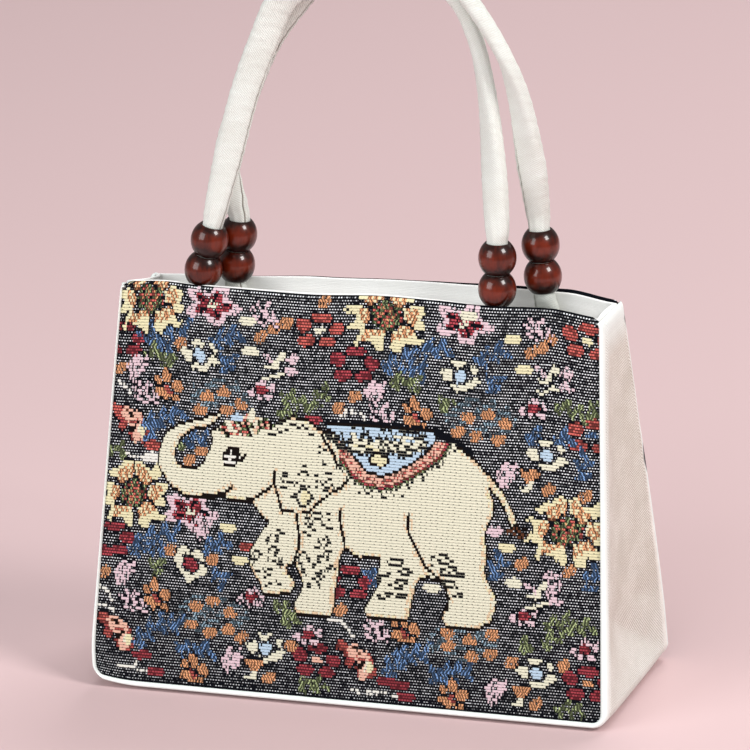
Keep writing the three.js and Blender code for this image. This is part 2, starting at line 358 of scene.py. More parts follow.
class Skin:
    """A closed mesh in the making: points, faces, and what each face corner carries."""

    def __init__(self, node: str, matter: str) -> None:
        """Start an empty mesh.

        Args:
            node: The node that it will stand for.
            matter: What it is made of, the second half of its name.
        """
        self.node = node
        self.name = f"{node}_{matter}"
        self.points: list[Array] = []
        self.faces: list[Array] = []
        self.maps: dict[str, list[Array]] = {}
        self.count = 0

    def add_points(self, points: Array) -> Array:
        """Add points.

        Args:
            points: Places in millimetres, as a grid, a line or one point.

        Returns:
            Their numbers, in the same layout.
        """
        flat = points.reshape(-1, 3)
        numbers = self.count + np.arange(len(flat)).reshape(points.shape[:-1])
        self.points.append(flat)
        self.count += len(flat)
        return numbers

    def add_faces(self, faces: Array, bake: Array, **maps: Array) -> None:
        """Add faces of one kind.

        Args:
            faces: Point numbers, three or four to a face.
            bake: Places of the faces' corners on the bake map.
            maps: For each other map, what the corners carry. Every call gives the same maps.
        """
        self.faces.append(faces)
        for name, values in (*maps.items(), (BAKE_MAP, bake)):
            self.maps.setdefault(name, []).append(values.reshape(-1, values.shape[-1]))

    def cap(self, ring: Array, middle: Array, turn: int, place: float = 0.0) -> None:
        """Close an end of a tube of cloth with a fan of triangles.

        Args:
            ring: Point numbers round the end, the first one again at the last.
            middle: Where the fan's middle lies.
            turn: 1 for faces that follow the ring's direction, -1 for the other one.
            place: Both numbers of the fan's place on the cloth map.
        """
        hub = np.full(len(ring) - 1, self.add_points(middle))
        fan = np.stack([hub, ring[:-1], ring[1:]], axis=1)[:, ::turn]
        flat = np.zeros((*fan.shape, 2))
        self.add_faces(fan, flat, cloth=flat + place)

    def make(self, finish: Material, slot: str) -> Piece:
        """Make the object, dress it, and let it stand for its node.

        A map with two numbers to a corner becomes a UV map, and one with four a colour attribute.

        Args:
            finish: The material.
            slot: Not used.

        Returns:
            The object, riding on the bag's body.
        """
        points = np.concatenate(self.points) * MM
        corners = np.concatenate([faces.reshape(-1) for faces in self.faces])
        sides = np.concatenate([np.full(len(faces), faces.shape[1]) for faces in self.faces])
        mesh = bpy.data.meshes.new(self.name)
        mesh.vertices.add(len(points))
        mesh.vertices.foreach_set("co", points.reshape(-1))
        mesh.loops.add(len(corners))
        mesh.loops.foreach_set("vertex_index", corners)
        mesh.polygons.add(len(sides))
        mesh.polygons.foreach_set("loop_start", np.cumsum(sides) - sides)
        mesh.update(calc_edges=True)
        for name, parts in self.maps.items():
            values = np.concatenate(parts).astype(np.float32)
            if values.shape[1] == 2:
                mesh.uv_layers.new(name=name).data.foreach_set("uv", values.reshape(-1))
            else:
                layer = mesh.color_attributes.new(name, "FLOAT_COLOR", "CORNER")
                layer.data.foreach_set("color", values.reshape(-1))
        mesh.shade_smooth()
        mesh.materials.append(finish)
        piece = bpy.data.objects.new(self.name, mesh)
        bpy.context.scene.collection.objects.link(piece)
        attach(piece, BODY)
        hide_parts(self.node)
        self.report(points, sides)
        return piece

    def report(self, points: Array, sides: Array) -> None:
        """Log the triangles of the piece and how far its box is from its node's.

        Args:
            points: All the mesh's points.
            sides: How many corners each face has.
        """
        low, high = (np.array(corner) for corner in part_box(self.node))
        off = max(np.abs(points.min(axis=0) - low).max(), np.abs(points.max(axis=0) - high).max())
        LOG.info("%s: %d triangles, box within %.1f mm", self.name, (sides - 2).sum(), off / MM)


class Weave(Enum):
    """How a thread lies: its weights of dots, strokes, floats and closeness, and its height."""

    DOTS = ((1.0, 0.0, 0.0, 0.0), 0.24)
    CLOSE_DOTS = ((1.0, 0.0, 0.0, 1.0), 0.30)
    STROKES = ((0.0, 1.0, 0.0, 0.0), 0.34)
    CLOSE_STROKES = ((0.0, 1.0, 0.0, 1.0), 0.36)
    FLOATS = ((0.0, 0.0, 1.0, 0.0), 0.42)
    MARKS = ((0.0, 0.0, 1.0, 1.0), 0.36)
    SOLID = ((0.0, 0.0, 0.0, 0.0), 0.20)

    @property
    def weights(self) -> Colour:
        """Shares of dots, slanted strokes and closed floats, and how close or how marked they are."""
        return self.value[0]

    @property
    def height(self) -> float:
        """How far the thread stands up from the cloth."""
        return self.value[1]


class Yarn(NamedTuple):
    """A thread of the tapestry: its letter in the charts, its colour and how it lies."""

    letter: str
    colour: str
    weave: Weave


YARNS = (
    Yarn("n", "f8fbff", Weave.DOTS),
    Yarn("q", "0f1117", Weave.SOLID),
    Yarn("k", "17110f", Weave.SOLID),
    Yarn("c", "ebe9d1", Weave.FLOATS),
    Yarn("x", "ebe9d1", Weave.MARKS),
    Yarn("w", "f0efe6", Weave.FLOATS),
    Yarn("y", "ece5bb", Weave.FLOATS),
    Yarn("t", "e6cba8", Weave.FLOATS),
    Yarn("e", "5e3a28", Weave.SOLID),
    Yarn("o", "ffb886", Weave.CLOSE_STROKES),
    Yarn("r", "e4736a", Weave.CLOSE_DOTS),
    Yarn("d", "c6545d", Weave.CLOSE_DOTS),
    Yarn("u", "eeb9a0", Weave.CLOSE_DOTS),
    Yarn("m", "eebda8", Weave.FLOATS),
    Yarn("p", "e8cdd5", Weave.FLOATS),
    Yarn("b", "8fb9f2", Weave.STROKES),
    Yarn("s", "bfd7ea", Weave.FLOATS),
    Yarn("a", "b8d8ea", Weave.STROKES),
    Yarn("g", "cbdca0", Weave.STROKES),
    Yarn("h", "a4b884", Weave.STROKES),
)
LETTERS = "".join(yarn.letter for yarn in YARNS)


@dataclass(frozen=True)
class Loom:
    """Rows and columns of cells on a panel, and the size of a dash and a row."""

    rows: int = 140
    columns: int = 323
    dash: float = 1.18
    row: float = 1.34

    def cells(self) -> tuple[Array, Array]:
        """Middles of the cells: across from the panel's middle and up from its lower edge.

        Returns:
            Places across and up.
        """
        up = (np.arange(self.rows) + 0.5)[:, None] * FORM.height / self.rows
        share = (np.arange(self.columns) + 0.5) * 2 / self.columns - 1
        return share * FORM.half_width(up + FORM.base), up + 0 * share


LOOM = Loom()

# Numbers of a usual formula that scatters whole numbers evenly between 0 and 1
FIRST_MIX = 12.9898
SECOND_MIX = 78.233
SCATTER = 43758.5453

# Small figures of the cloth, charted one by one; a dot leaves what lies under it, and rows may stop early
FIGURES: dict[str, str] = {
    "star": """
............yyyyy.yyyy.......yy...
...........yyyoyo.yooyy.....yyyy
.........yyyooyoo.yoyooyy..yyyyy
......yyyyooyooyo.yooyooyyyyyyyy
....yyyyyooyooyo..yoyooyoyyyyyy
.....yyyyooyooyo...oyooyooyyy
........oyooyo..hh..oyooyo
.........eoe..hrhhrh.eooe...yyyyyy
yyyyyyy.....hqrhohhrqhgh.yooyooyyy
..yyyyooyo..rhqghrrohqhr.yyooyooyy
...yyyoyoo.hhrhorqgrhrhq.yoyooyyy
....yyooyo.qhorhgrrhoqhr.yooyooy
....yyoyoo.hrhqhrohrhhqr..oyooyyy
...yyyyoo..hhrqhorhgrhh.....oyyyyy
.yyyyyyy....hqhrhohrhq.oyoo..yyyyy
yyyyyyyy......hhrhqh..oyooyoo
......yyoyooyooyo...yyoyooyooy
......yyooyooyoyy...oyooyooyyyy
.....yyoyooyyyyyy...ooyoyyyyyyyyyy
.....yyooyyyyyyyy...oyyyyyyyyyyyy
....yy......yyyyy...yyyyyy
.....y.......yyyy...yyyyy
..............yyy....yyyy""",
    "bud": """
rrrr............
rrrrrmmmm
rrrrmmekkmm
.rrrrmmmkemmm
..qrrmmmmmmmmr
....drmmrrrrmmr
...rrrrmmmkkmrr
...rrrr.kkkmcyy
....rr..kkmcyyyr
.......rrmmcyyrr
........rmmmyyrr
........rmmmmrr
.........tmmrr""",
    "tulip": """
...pp...p
..ppppppp
.ppppppp
ppppppppp
pppppppp
.ppppppp
.pppppp
..pppp
..pp.p
...p""",
    "plume": """
..pp...pp...
...pp.ppp
pp..ppp
.ppp.pp..pp
...p.ppp.pp
.pp...pp.ppp
..ppp..ppp
.....pp...pp""",
    "daisy": """
.....cccccc.......
......cccc...cc
.............ccc
.cccc..sss....c
ccccc.sssss
.cccc.sssss..ccc
..ccc..sss..ccccc
...........cccc
.....cccccccc
......cccccc""",
    "red_daisy": """
...ccc........
..ccccc..ccc
..ccc.c.ccccc
.ccc.....cccc
cccc.dddd..cc
cccc.ddddd
.cc.dddddd.cc
.cc..ddddd.ccc
..cc...dd.cccc
...cccc..cccc
....ccccccc
.....cccc
......cc""",
    "pink_cross": """
.....ppp.....
....ppppp.pp
....dddd.ppp
.pp.ddddd.pp
ppp.dddd
.pp.pp.pppp
....pp..ppp""",
    "marigold": """
.....o.......
....ooo
....oooo
.oo.oooo
.ooo.ooo.ooo
..oo....ooooo
.....rr.ooooo
.oooorr..ooo
.ooooorr
..oooooo.oo
....oo..ooo""",
    "small_cup": """
oooooooo
.ooooooo
..ooooo
...ooo
....cc
...ccc
.ccccc""",
    "twig": """
........cc...ppp
ppp....ccc.ppppp
.pppp.ccc.ppppp
...ppcc....ppp
....ccc
.cccccc...pppp
..........pppppp
.......ccc.pppp
....cccc
.ccc""",
    "eye": """
..kkkkk...
.kkwkkk
kkkwkkkk.k
kwwwwwkwkk
kkkwkkkkk
.wwwwwk
.kkkkk""",
    "diamond": """
...xxx...
..x.yyx
.x.yyyyx
xx.yyyy.x
.x.yyyyx
..x.yyx
...xxx""",
    "near_foreleg_marks": """
......xxxxx.xx....
....xx
...xx..xxxx..x
.....xx...xx
...xxxx
............xxx
......xx
..xxxx
..........xxx
........x...x
........xx..xx
...........xx
.......xxx
...........xxxx
..xxx.....xx.x
.x..xx...x...x
xx...x...xx..x
.x.......x
.xx....xx.....xxx
..x....x..x.xxx
..xx......x..x
..xx....xx.x
........xxx
......xx
....xx..xx
....xx...x""",
    "far_foreleg_marks": """
...........xx.......
............xxx
........x.xx
.......x...x
......xx..xx
.
.........xxx
........x..xx
..xxx...x..xx
.x..xx.....x
.xx.x...x....xx
..xx....x.xx.xx
.xx.........xxx
.
......xxxx
..xxx
......xxx
.
...........xxx
.......xxx""",
    "far_hind_marks": """
.......xxxxxx.......
......x.....x
.......xxxxxx
.............xxx
...........xx..xx
......xx....xxxx
..xxxxx
..xx......xxxxx
..xx.....xx..xx
..x...xx...xx
.........xxxx
.
.....xxxx.xxxxx
..xx..xx..xxxx
...xxx""",
    "near_hind_marks": """
....xxxx.........
.xx....xx
.x..xx...xx
.....xxxx
..x......xxxx
......xx...xx
......x..x..xxxx
......xxxxxxxxxx
.
.......xxxxx
......xx...x
........xxx.x
.
............xxx
..........xx.xx""",
    "saddle_marks": """
..........xx...x.......x..x...xxx.xx.x.x...
.......................................xx
......x...cc....xx..........cccxccccxxxxx
xx.xx......cc.x......xx..x.....cc....cccxx
.xx...x..xxccxxccxx.ccxxccxxccxxcccxcccxcx
...xx..x.xxccccccxccccxcxxccxxccxxxcccxxxx
....xxx..ccyyxxxyyyccxcxcxcccxcccxxxxxcx
.....xx.xxccccccxxxyyyxxcxxxcxxxxccx
........xxxxxxcxxxx...xxx....xxxxx""",
}


class Place(NamedTuple):
    """Where a figure lies, across from the panel's middle and up from its lower edge, and its stretch."""

    figure: str
    x: float
    z: float
    stretch: float = 1.0


FIGURE_PLACES: dict[str, list[tuple[float, ...]]] = {
    "star": [(-103.5, 179.0, 0.84), (14, 178.0, 0.96), (-108.5, 89.0, 0.84), (106, 88)],
    "tulip": [(10.5, 143), (76, 111), (-108.5, 147), (-112, 51), (-56.5, 14), (74.5, 11), (-73, 76),
        (100, 63)],
    "plume": [(-104, 136.5), (14, 134.5), (-107, 39), (15, 35), (88, 178), (-46, 177)],
    "daisy": [(-77, 155.5), (52, 154.5), (96, 121.5), (-38.5, 22), (95, 21.5)],
    "red_daisy": [(-78.5, 58)],
    "pink_cross": [(-45, 142), (88.5, 142.5), (-46.5, 45.5), (88, 47.5), (117, 34.5), (-18, 30)],
    "marigold": [(-92.5, 141), (31, 137), (-95, 43), (29, 37.5), (-75, 9.5), (54, 9)],
    "small_cup": [(87, 109.5), (86.5, 10), (-45.5, 11.5)],
    "twig": [(97, 155.5), (-37, 154), (96, 57)],
}
MARK_PLACES = (
    Place("eye", -58.2, 110.5), Place("diamond", -22.8, 94.5), Place("near_foreleg_marks", -14.4, 70.2),
    Place("far_foreleg_marks", -37, 65), Place("far_hind_marks", 24.5, 59.5),
    Place("near_hind_marks", 49.5, 63.2),
)

# Elephant: outline from the trunk's tip round the jaw, chest, belly, rump and back to the curl
ELEPHANT_BODY: Points = [
    (-65, 129.5), (-69.5, 128.5), (-74, 126), (-80, 124.5), (-86, 122.5), (-91, 119.5), (-94.5, 115),
    (-95.5, 109), (-95, 103), (-92.5, 97.5), (-88.5, 93.5), (-83, 91.2), (-76, 90.6), (-69, 91.4),
    (-63, 92), (-57, 91), (-48, 91), (-46, 88.5), (-43, 85), (-38.5, 82), (-34.5, 79), (-25, 66),
    (-3, 72), (0, 72.5), (3, 70), (6, 68.3), (9, 69.5), (12, 69), (16, 69.5), (30, 62), (45, 62),
    (67.6, 68), (67, 76), (67.4, 85), (69, 90), (70, 95), (69.8, 100), (68.5, 104), (67.5, 107.5),
    (66, 111), (63.5, 114), (60, 117), (56, 119.8), (52.5, 121.8), (49, 122), (40, 124), (20, 126),
    (0, 126), (-12, 124), (-16, 125.5), (-20, 128.5), (-25, 130.3), (-31, 130), (-36, 127.5),
    (-40, 124.5), (-46, 124), (-52, 127), (-60, 127), (-66, 123), (-69.3, 121), (-69.5, 116),
    (-71, 111), (-72.5, 106.5), (-76, 103.3), (-81, 102.3), (-85.5, 104), (-88, 108), (-88, 112.5),
    (-86, 116.5), (-82.5, 120), (-78, 122), (-72, 123.5), (-68, 126),
]
FAR_FORELEG: Points = [
    (-33, 82), (-39, 81), (-42, 78), (-45, 73), (-47, 69), (-48, 64), (-47.5, 59.5), (-45.5, 55.5),
    (-43, 52.5), (-42, 49.5), (-39.5, 48), (-35, 48.5), (-31, 49.5), (-27.5, 50), (-26, 52.5),
    (-27, 55.5), (-30, 57.5), (-30.3, 61), (-27, 63.5), (-24.5, 64.5), (-24, 84),
]
NEAR_FORELEG: Points = [
    (-26, 85), (-24.6, 75), (-25, 66), (-24.5, 62), (-23, 57.5), (-21.5, 53.5), (-22, 50), (-24, 46.5),
    (-25.3, 43), (-24, 40), (-10, 39.7), (-6.5, 41), (-5.5, 45), (-6.2, 52), (-5, 58), (-3.8, 64),
    (-2.8, 70), (-1, 74), (-3, 88),
]
FAR_HIND_LEG: Points = [
    (16.5, 71), (17, 66), (16, 61), (15, 55.5), (13.5, 51), (11.5, 47.5), (9.5, 44.5), (10.5, 42),
    (17, 41), (27, 41), (31.5, 42.5), (32.2, 47), (32.5, 53), (34, 58.5), (37, 62.5), (41, 65), (30, 76),
]
NEAR_HIND_LEG: Points = [
    (30, 78), (38, 68), (43, 64), (46.5, 60), (49.5, 56), (50.5, 50), (49, 46.5), (48.3, 43), (50, 40),
    (58, 39.7), (66, 40.2), (71, 43.5), (73, 47.5), (73, 53), (71.5, 57.5), (69, 61.5), (67.8, 66),
    (67.5, 72),
]
BACK_SHADE: Points = [(-12, 129.3), (40, 129.3), (48, 126), (53, 124.2), (59, 120.5)]
TASSEL: Points = [(81, 87), (86, 85.5)]
TASSEL_SHEEN: Points = [(80, 86), (87, 84)]
TAIL: Points = [(67, 109), (71, 105.5), (74.5, 101.5), (77, 97), (79, 92.5), (80.5, 89)]
CURL: Points = ELEPHANT_BODY[-14:-2]
BROW: Points = [
    (-66, 122), (-62, 127), (-58, 130), (-50, 130.5), (-42, 129), (-38, 126.5), (-44, 123),
    (-48, 120.5), (-64, 119.5),
]

# Dark lines drawn inside the elephant
INNER_LINES: dict[str, Points] = {
    "mouth": [(-78, 90.5), (-67, 91.5), (-62.5, 93.3), (-59, 96)],
    "cheek": [(-53, 90.3), (-48, 91.7), (-44, 94.3), (-40, 97.3), (-37.5, 99.5)],
    "ear": [
        (-37, 105), (-37.6, 99), (-36, 94), (-33.5, 89), (-32, 87), (-26, 87), (-20, 87.3), (-17.5, 90),
        (-13, 94.5), (-8, 98), (-3.5, 100.5), (-0.8, 103), (-0.5, 107.5), (-2, 112), (-4.5, 116),
    ],
    "ear_fold": [(-14, 123), (-11.5, 119), (-9, 114.5), (-6.5, 110), (-5, 107)],
    "foreleg": [(-4, 90), (-3.3, 83), (-2.5, 77), (-1.8, 73)],
    "leg_split": [(-25, 86), (-24.7, 78), (-24.4, 70), (-25.5, 65)],
    "thigh": [
        (29.7, 90), (29.6, 85), (30.5, 80), (32.5, 75.5), (35, 72), (38, 68), (40, 65.5), (43, 63.7),
        (46, 61), (48, 57.5), (50, 53), (50.2, 48),
    ],
}


# Short dark marks along the rows of the ear, head and flank: their middle, and half their length
EAR_DASHES = (
    (-15.5, 118, 0.8), (-13, 116.5, 1), (-16, 115, 0.6), (-14, 112, 0.6),
    (-13, 110.5, 1), (-22.5, 109, 1), (-22, 106.3, 1.8), (-31.5, 104.7, 1.6),
    (-32, 103.3, 1.5), (-25, 104.6, 0.6), (-20, 104.6, 0.7), (-16, 104.7, 1.3),
    (-10, 106, 2), (-10, 103, 2), (-33, 101.7, 1), (-26, 101.7, 0.6),
    (-22.5, 101.7, 0.6), (-16, 102, 1), (-13.5, 101.5, 1), (-29, 100.3, 2),
    (-24, 100, 0.6), (-20, 100, 0.6), (-10, 100, 2.5), (-33, 98.7, 1.8),
    (-23, 98.7, 1.6), (-16.3, 98.7, 0.7), (-12, 98.6, 1.8), (-27, 95.7, 1.2),
    (-28, 94.4, 1.4), (-18.8, 94.4, 1.2), (-26, 93, 0.8), (-20, 93, 1),
    (-22.8, 90, 1.6), (-35, 124, 1.5), (-35, 127.3, 1.5), (-32, 125.3, 1.2),
    (-27, 127, 3.5), (-22, 125.5, 1.2), (-19.5, 124, 1.5), (-39, 122.5, 2.5),
    (4.6, 97.9, 0.6), (11, 96.3, 0.6), (17.3, 96.4, 0.6), (26, 98, 0.6),
)

# Saddle cloth: its blue field
SADDLE_FIELD: Points = [
    (-12, 128), (40, 128), (42, 125.5), (38.5, 121), (33.5, 116.8), (27, 112.4), (21.5, 109),
    (17, 107.4), (14, 107.2), (8, 108.8), (4, 112.3), (1, 115.5), (-4, 121), (-8, 125),
]


class TapestryChart:
    """Threads of the panel, cell by cell, laid from the ground up.

    A blossom's petals are ovals: their place from the heart, and half their width and height. A
    spray's leaves are set by their step along the stem, their place beside it and their spread.
    """

    PETALS: tuple[tuple[float, ...], ...] = (
        (-8.2, 2.6, 3.9, 3.3), (1, 6.2, 5.2, 2.3), (8.4, 1, 3.8, 2.9), (4.9, -4.8, 4.2, 2.4),
        (-5.6, -4.6, 4.4, 2.7),
    )
    LEAF_STEP: float = 3.1
    LEAF_OFFSET: float = 1.7
    LEAF_HALF_WIDTH: float = 1.65
    LEAF_SPREAD: float = 52.0
    LOBES: int = 5

    def __init__(self, loom: Loom) -> None:
        """Start with the dotted ground, and shift each row a little, as woven edges step.

        Args:
            loom: The cloth's loom.
        """
        across, up = loom.cells()
        self.loom = loom
        self.row = np.round(up / loom.row - 0.5)
        self.x = across + 0.5 * np.sin(self.row * FIRST_MIX)
        self.z = up + 0.25 * np.sin(across * 0.9)
        self.cell = np.zeros(across.shape, dtype=int)
        mixed = np.sin(np.arange(loom.columns) * FIRST_MIX + self.row * SECOND_MIX) * SCATTER
        self.luck = np.modf(np.abs(mixed))[0]

    def paint(self, mask: Array, letter: str, share: float = 1.0) -> None:
        """Lay a thread on the masked cells, or on a scattered share of them."""
        self.cell[mask & (self.luck <= share)] = LETTERS.index(letter)

    def oval(self, x: float, z: float, wide: float, tall: float, turn: float = 0.0) -> Array:
        """Cells within an ellipse.

        Args:
            x: Middle, across.
            z: Middle, up.
            wide: Half the width.
            tall: Half the height.
            turn: Turn in degrees.

        Returns:
            A mask.
        """
        cosine, sine = np.cos(np.radians(turn)), np.sin(np.radians(turn))
        along = (self.x - x) * cosine + (self.z - z) * sine
        across = (self.z - z) * cosine - (self.x - x) * sine
        return (along / wide) ** 2 + (across / tall) ** 2 <= 1

    def within(self, outline: Points) -> Array:
        """Cells inside a closed outline: a ray to the right crosses it an odd number of times.

        Args:
            outline: Corners of the outline.

        Returns:
            A mask.
        """
        start = np.array(outline)[:, :, None, None]
        stop = np.roll(start, -1, axis=0)
        straddles = (start[:, 1] > self.z) != (stop[:, 1] > self.z)
        rise = stop[:, 1] - start[:, 1]
        rise = np.where(np.abs(rise) < 1e-9, 1e-9, rise)
        crossing = start[:, 0] + (self.z - start[:, 1]) * (stop[:, 0] - start[:, 0]) / rise
        return (straddles & (self.x < crossing)).sum(axis=0) % 2 == 1

    def distance(self, line: Points) -> Array:
        """Distance of each cell from an open line, the least over its segments.

        Args:
            line: Points of the line.

        Returns:
            Distances, by cell.
        """
        points = np.array(line)[:, :, None, None]
        start, run = points[:-1], points[1:] - points[:-1]
        dx, dz = self.x - start[:, 0], self.z - start[:, 1]
        share = unit((dx * run[:, 0] + dz * run[:, 1]) / (run**2).sum(axis=1))
        return np.hypot(dx - share * run[:, 0], dz - share * run[:, 1]).min(axis=0)

    def near(self, line: Points, reach: float) -> Array:
        """Cells within a distance of an open line."""
        return self.distance(line) <= reach

    def grown(self, mask: Array) -> Array:
        """A mask with one more cell all round.

        Args:
            mask: Cells.

        Returns:
            The wider mask.
        """
        wider = mask.copy()
        for step, axis in ((1, 0), (-1, 0), (1, 1), (-1, 1)):
            wider |= np.roll(mask, step, axis=axis)
        return wider

    def figure(self, place: Place) -> None:
        """Lay a charted figure with its middle at a place, with dark cells here and there round it.

        Args:
            place: The figure, its middle and its stretch.
        """
        rows = FIGURES[place.figure].split()
        letters = np.array([list(row.ljust(len(rows[0]), ".")) for row in rows])
        count, width = letters.shape
        column = np.floor((self.x - place.x) / (self.loom.dash * place.stretch) + width / 2).astype(int)
        line = np.floor((place.z - self.z) / self.loom.row + count / 2).astype(int)
        inside = (column >= 0) & (column < width) & (line >= 0) & (line < count)
        found = np.where(inside, letters[np.clip(line, 0, count - 1), np.clip(column, 0, width - 1)], ".")
        if place not in MARK_PLACES:
            self.paint(self.grown(found != ".") & (found == "."), "q", 0.55)
        for letter in sorted(set("".join(rows)) - {"."}):
            self.paint(found == letter, letter, 0.72 if letter == "p" else 1.0)

    def rosette(self, x: float, z: float, wide: float = 14.5, tall: float = 9.5) -> None:
        """Lobed pink flower with red inside: its radius waves once a lobe round the heart.

        Args:
            x: Middle, across.
            z: Middle, up.
            wide: Half the width.
            tall: Half the height.
        """
        dx, dz = (self.x - x) / wide, (self.z - z) / tall
        radius, angle = np.hypot(dx, dz), np.arctan2(dz, dx)
        lobe = 0.84 + 0.2 * np.cos(self.LOBES * angle + 0.6)
        self.paint((radius < lobe) & (radius > 0.62 * lobe), "p", 0.82)
        self.paint(radius < 0.68 * lobe, "d", 0.86)
        self.paint((radius < 0.62 * lobe) & (np.cos(self.LOBES * angle) > 0.75), "q")
        self.paint(radius < 0.2, "c", 0.7)

    def blossom(self, x: float, z: float, letter: str, heart: str) -> None:
        """Five oval petals round a heart, set a little apart.

        Args:
            x: Middle, across.
            z: Middle, up.
            letter: The petals' yarn.
            heart: The heart's yarn.
        """
        for dx, dz, wide, tall in self.PETALS:
            self.paint(self.oval(x + dx, z + dz, wide + 1.0, tall + 1.0), "q", 0.45)
            self.paint(self.oval(x + dx, z + dz, wide, tall), letter)
        self.paint(self.oval(x, z + 0.5, 2.8, 1.5), heart)

    def spray(self, x: float, z: float, length: float, turn: float, letter: str, leaf: float = 4.2) -> None:
        """Leaves set alternately to either side of a stem that runs through x and z.

        Args:
            x: Middle of the stem, across.
            z: Middle of the stem, up.
            length: The stem's length.
            turn: The stem's direction in degrees.
            letter: The leaves' yarn.
            leaf: Half the length of a leaf.
        """
        way = np.radians(turn)
        count = max(3, round(length / self.LEAF_STEP))
        for number in range(count):
            share = (number + 0.5) / count - 0.5
            side = 1 if number % 2 else -1
            leaf_x = x + share * length * np.cos(way) - side * self.LEAF_OFFSET * np.sin(way)
            leaf_z = z + share * length * np.sin(way) + side * self.LEAF_OFFSET * np.cos(way)
            blade = self.oval(leaf_x, leaf_z, leaf, self.LEAF_HALF_WIDTH, turn + side * self.LEAF_SPREAD)
            self.paint(blade, letter, 0.84)

    def mottle(self, x: float, z: float, wide: float, tall: float, blooms: Points) -> None:
        """Patch of pale blue dashes on every other row, with small orange blooms on it.

        Args:
            x: Middle, across.
            z: Middle, up.
            wide: Half the width.
            tall: Half the height.
            blooms: The blooms' places from the middle.
        """
        dash = np.sin(self.x * 0.55 + self.row * 2.1) > -0.25
        self.paint(self.oval(x, z, wide, tall) & (self.row % 2 == 0) & dash, "a")
        self.paint(self.oval(x, z, wide * 0.9, tall * 0.9) & (self.row % 2 == 1), "a", 0.16)
        for dx, dz in blooms:
            self.paint(self.oval(x + dx, z + dz, 3.6, 2.6), "o", 0.94)

    def flowers(self) -> None:
        """Lay the rosettes, blossoms and buds of the ground."""
        for x, z in ((-72, 179), (52, 178.5), (-79, 83)):
            self.rosette(x, z)
        for x, z, letter, heart in (
            (-18.5, 171, "r", "c"), (112, 175.5, "r", "y"), (-0.5, 156, "d", "n"), (-116, 160, "d", "n"),
            (-14, 18, "d", "m"), (119, 18, "d", "o"), (-119, 67, "d", "n"), (116, 132.5, "r", "b"),
            (1, 56, "d", "n"),
        ):
            self.blossom(x, z, letter, heart)
        for x, z in ((-115, 23.5), (6, 20), (-111, 121.5)):
            self.figure(Place("bud", x, z))

    def leaves(self) -> None:
        """Lay the blue and green sprays and the pale blue patches of the ground."""
        for x, z, length, turn in (
            (-95, 165.5, 26, 10), (-97, 160, 14, -30), (-64, 165, 15, 20), (36, 165.5, 22, 8),
            (67, 166, 16, 20), (20, 158, 13, 10), (31, 156, 9, -30), (-94, 125, 22, 24), (-101, 119, 10, 60),
            (-64, 153.5, 8, 70), (67.5, 153, 8, 70), (-94, 71, 20, 12), (-104, 65, 11, 20),
            (-94, 63.5, 9, -40), (-66, 68.5, 14, 25), (-63, 54, 10, -50), (73.5, 69.5, 12, 70),
            (119.5, 67.5, 12, 60), (113, 119, 13, 70), (-98, 25, 20, 38), (-87, 29, 12, 6),
            (-80, 18.5, 8, -15), (-70, 19, 10, -5), (25, 20, 14, 40), (34, 25.5, 18, 10), (55, 19, 18, 12),
            (45, 17, 7, 60), (12.5, 60, 9, 80), (103, 130.5, 8, 20), (89, 130, 6, 0),
        ):
            self.spray(x, z, length, turn, "b")
        for x, z, length, turn in (
            (-27, 138.5, 18, -18), (-16, 141.5, 12, 40), (-33, 133, 8, 10), (108, 143, 18, -12),
            (117, 146, 10, 60), (-30, 41, 11, -40), (-28, 37, 8, 20), (105, 46, 16, 14), (115, 44.5, 14, 12),
            (102, 38, 13, 20), (112, 5.5, 14, -6), (-19, 7, 9, 40), (-12, 7, 8, 20), (-101, 155, 8, 10),
            (-94, 152, 6, 60), (22, 150.5, 7, 20), (30, 150, 6, -20), (45, 142, 6, 60), (-96, 56, 8, 70),
            (88, 34, 5, 20), (-117, 109, 10, -10),
        ):
            self.spray(x, z, length, turn, "g", 3.2)
        self.mottle(-66, 137.5, 17, 8.5, [(-7, -0.5), (1.5, 2), (10, -3), (-10, -7), (3, -6)])
        self.mottle(62, 136.5, 18, 9.5, [(-6, 0), (4, 2), (12, -2), (-10, -7), (10, -9), (-1, -8)])
        self.mottle(-66, 36, 18, 9.5, [(-9, 3), (0, 6), (8, 1), (-11, -6), (-1, -9), (8, -7)])
        self.mottle(58, 32.5, 18, 8.5, [(-7, -2), (3, 1.5), (14, 5), (5, -6), (14, -4), (-8, 4)])

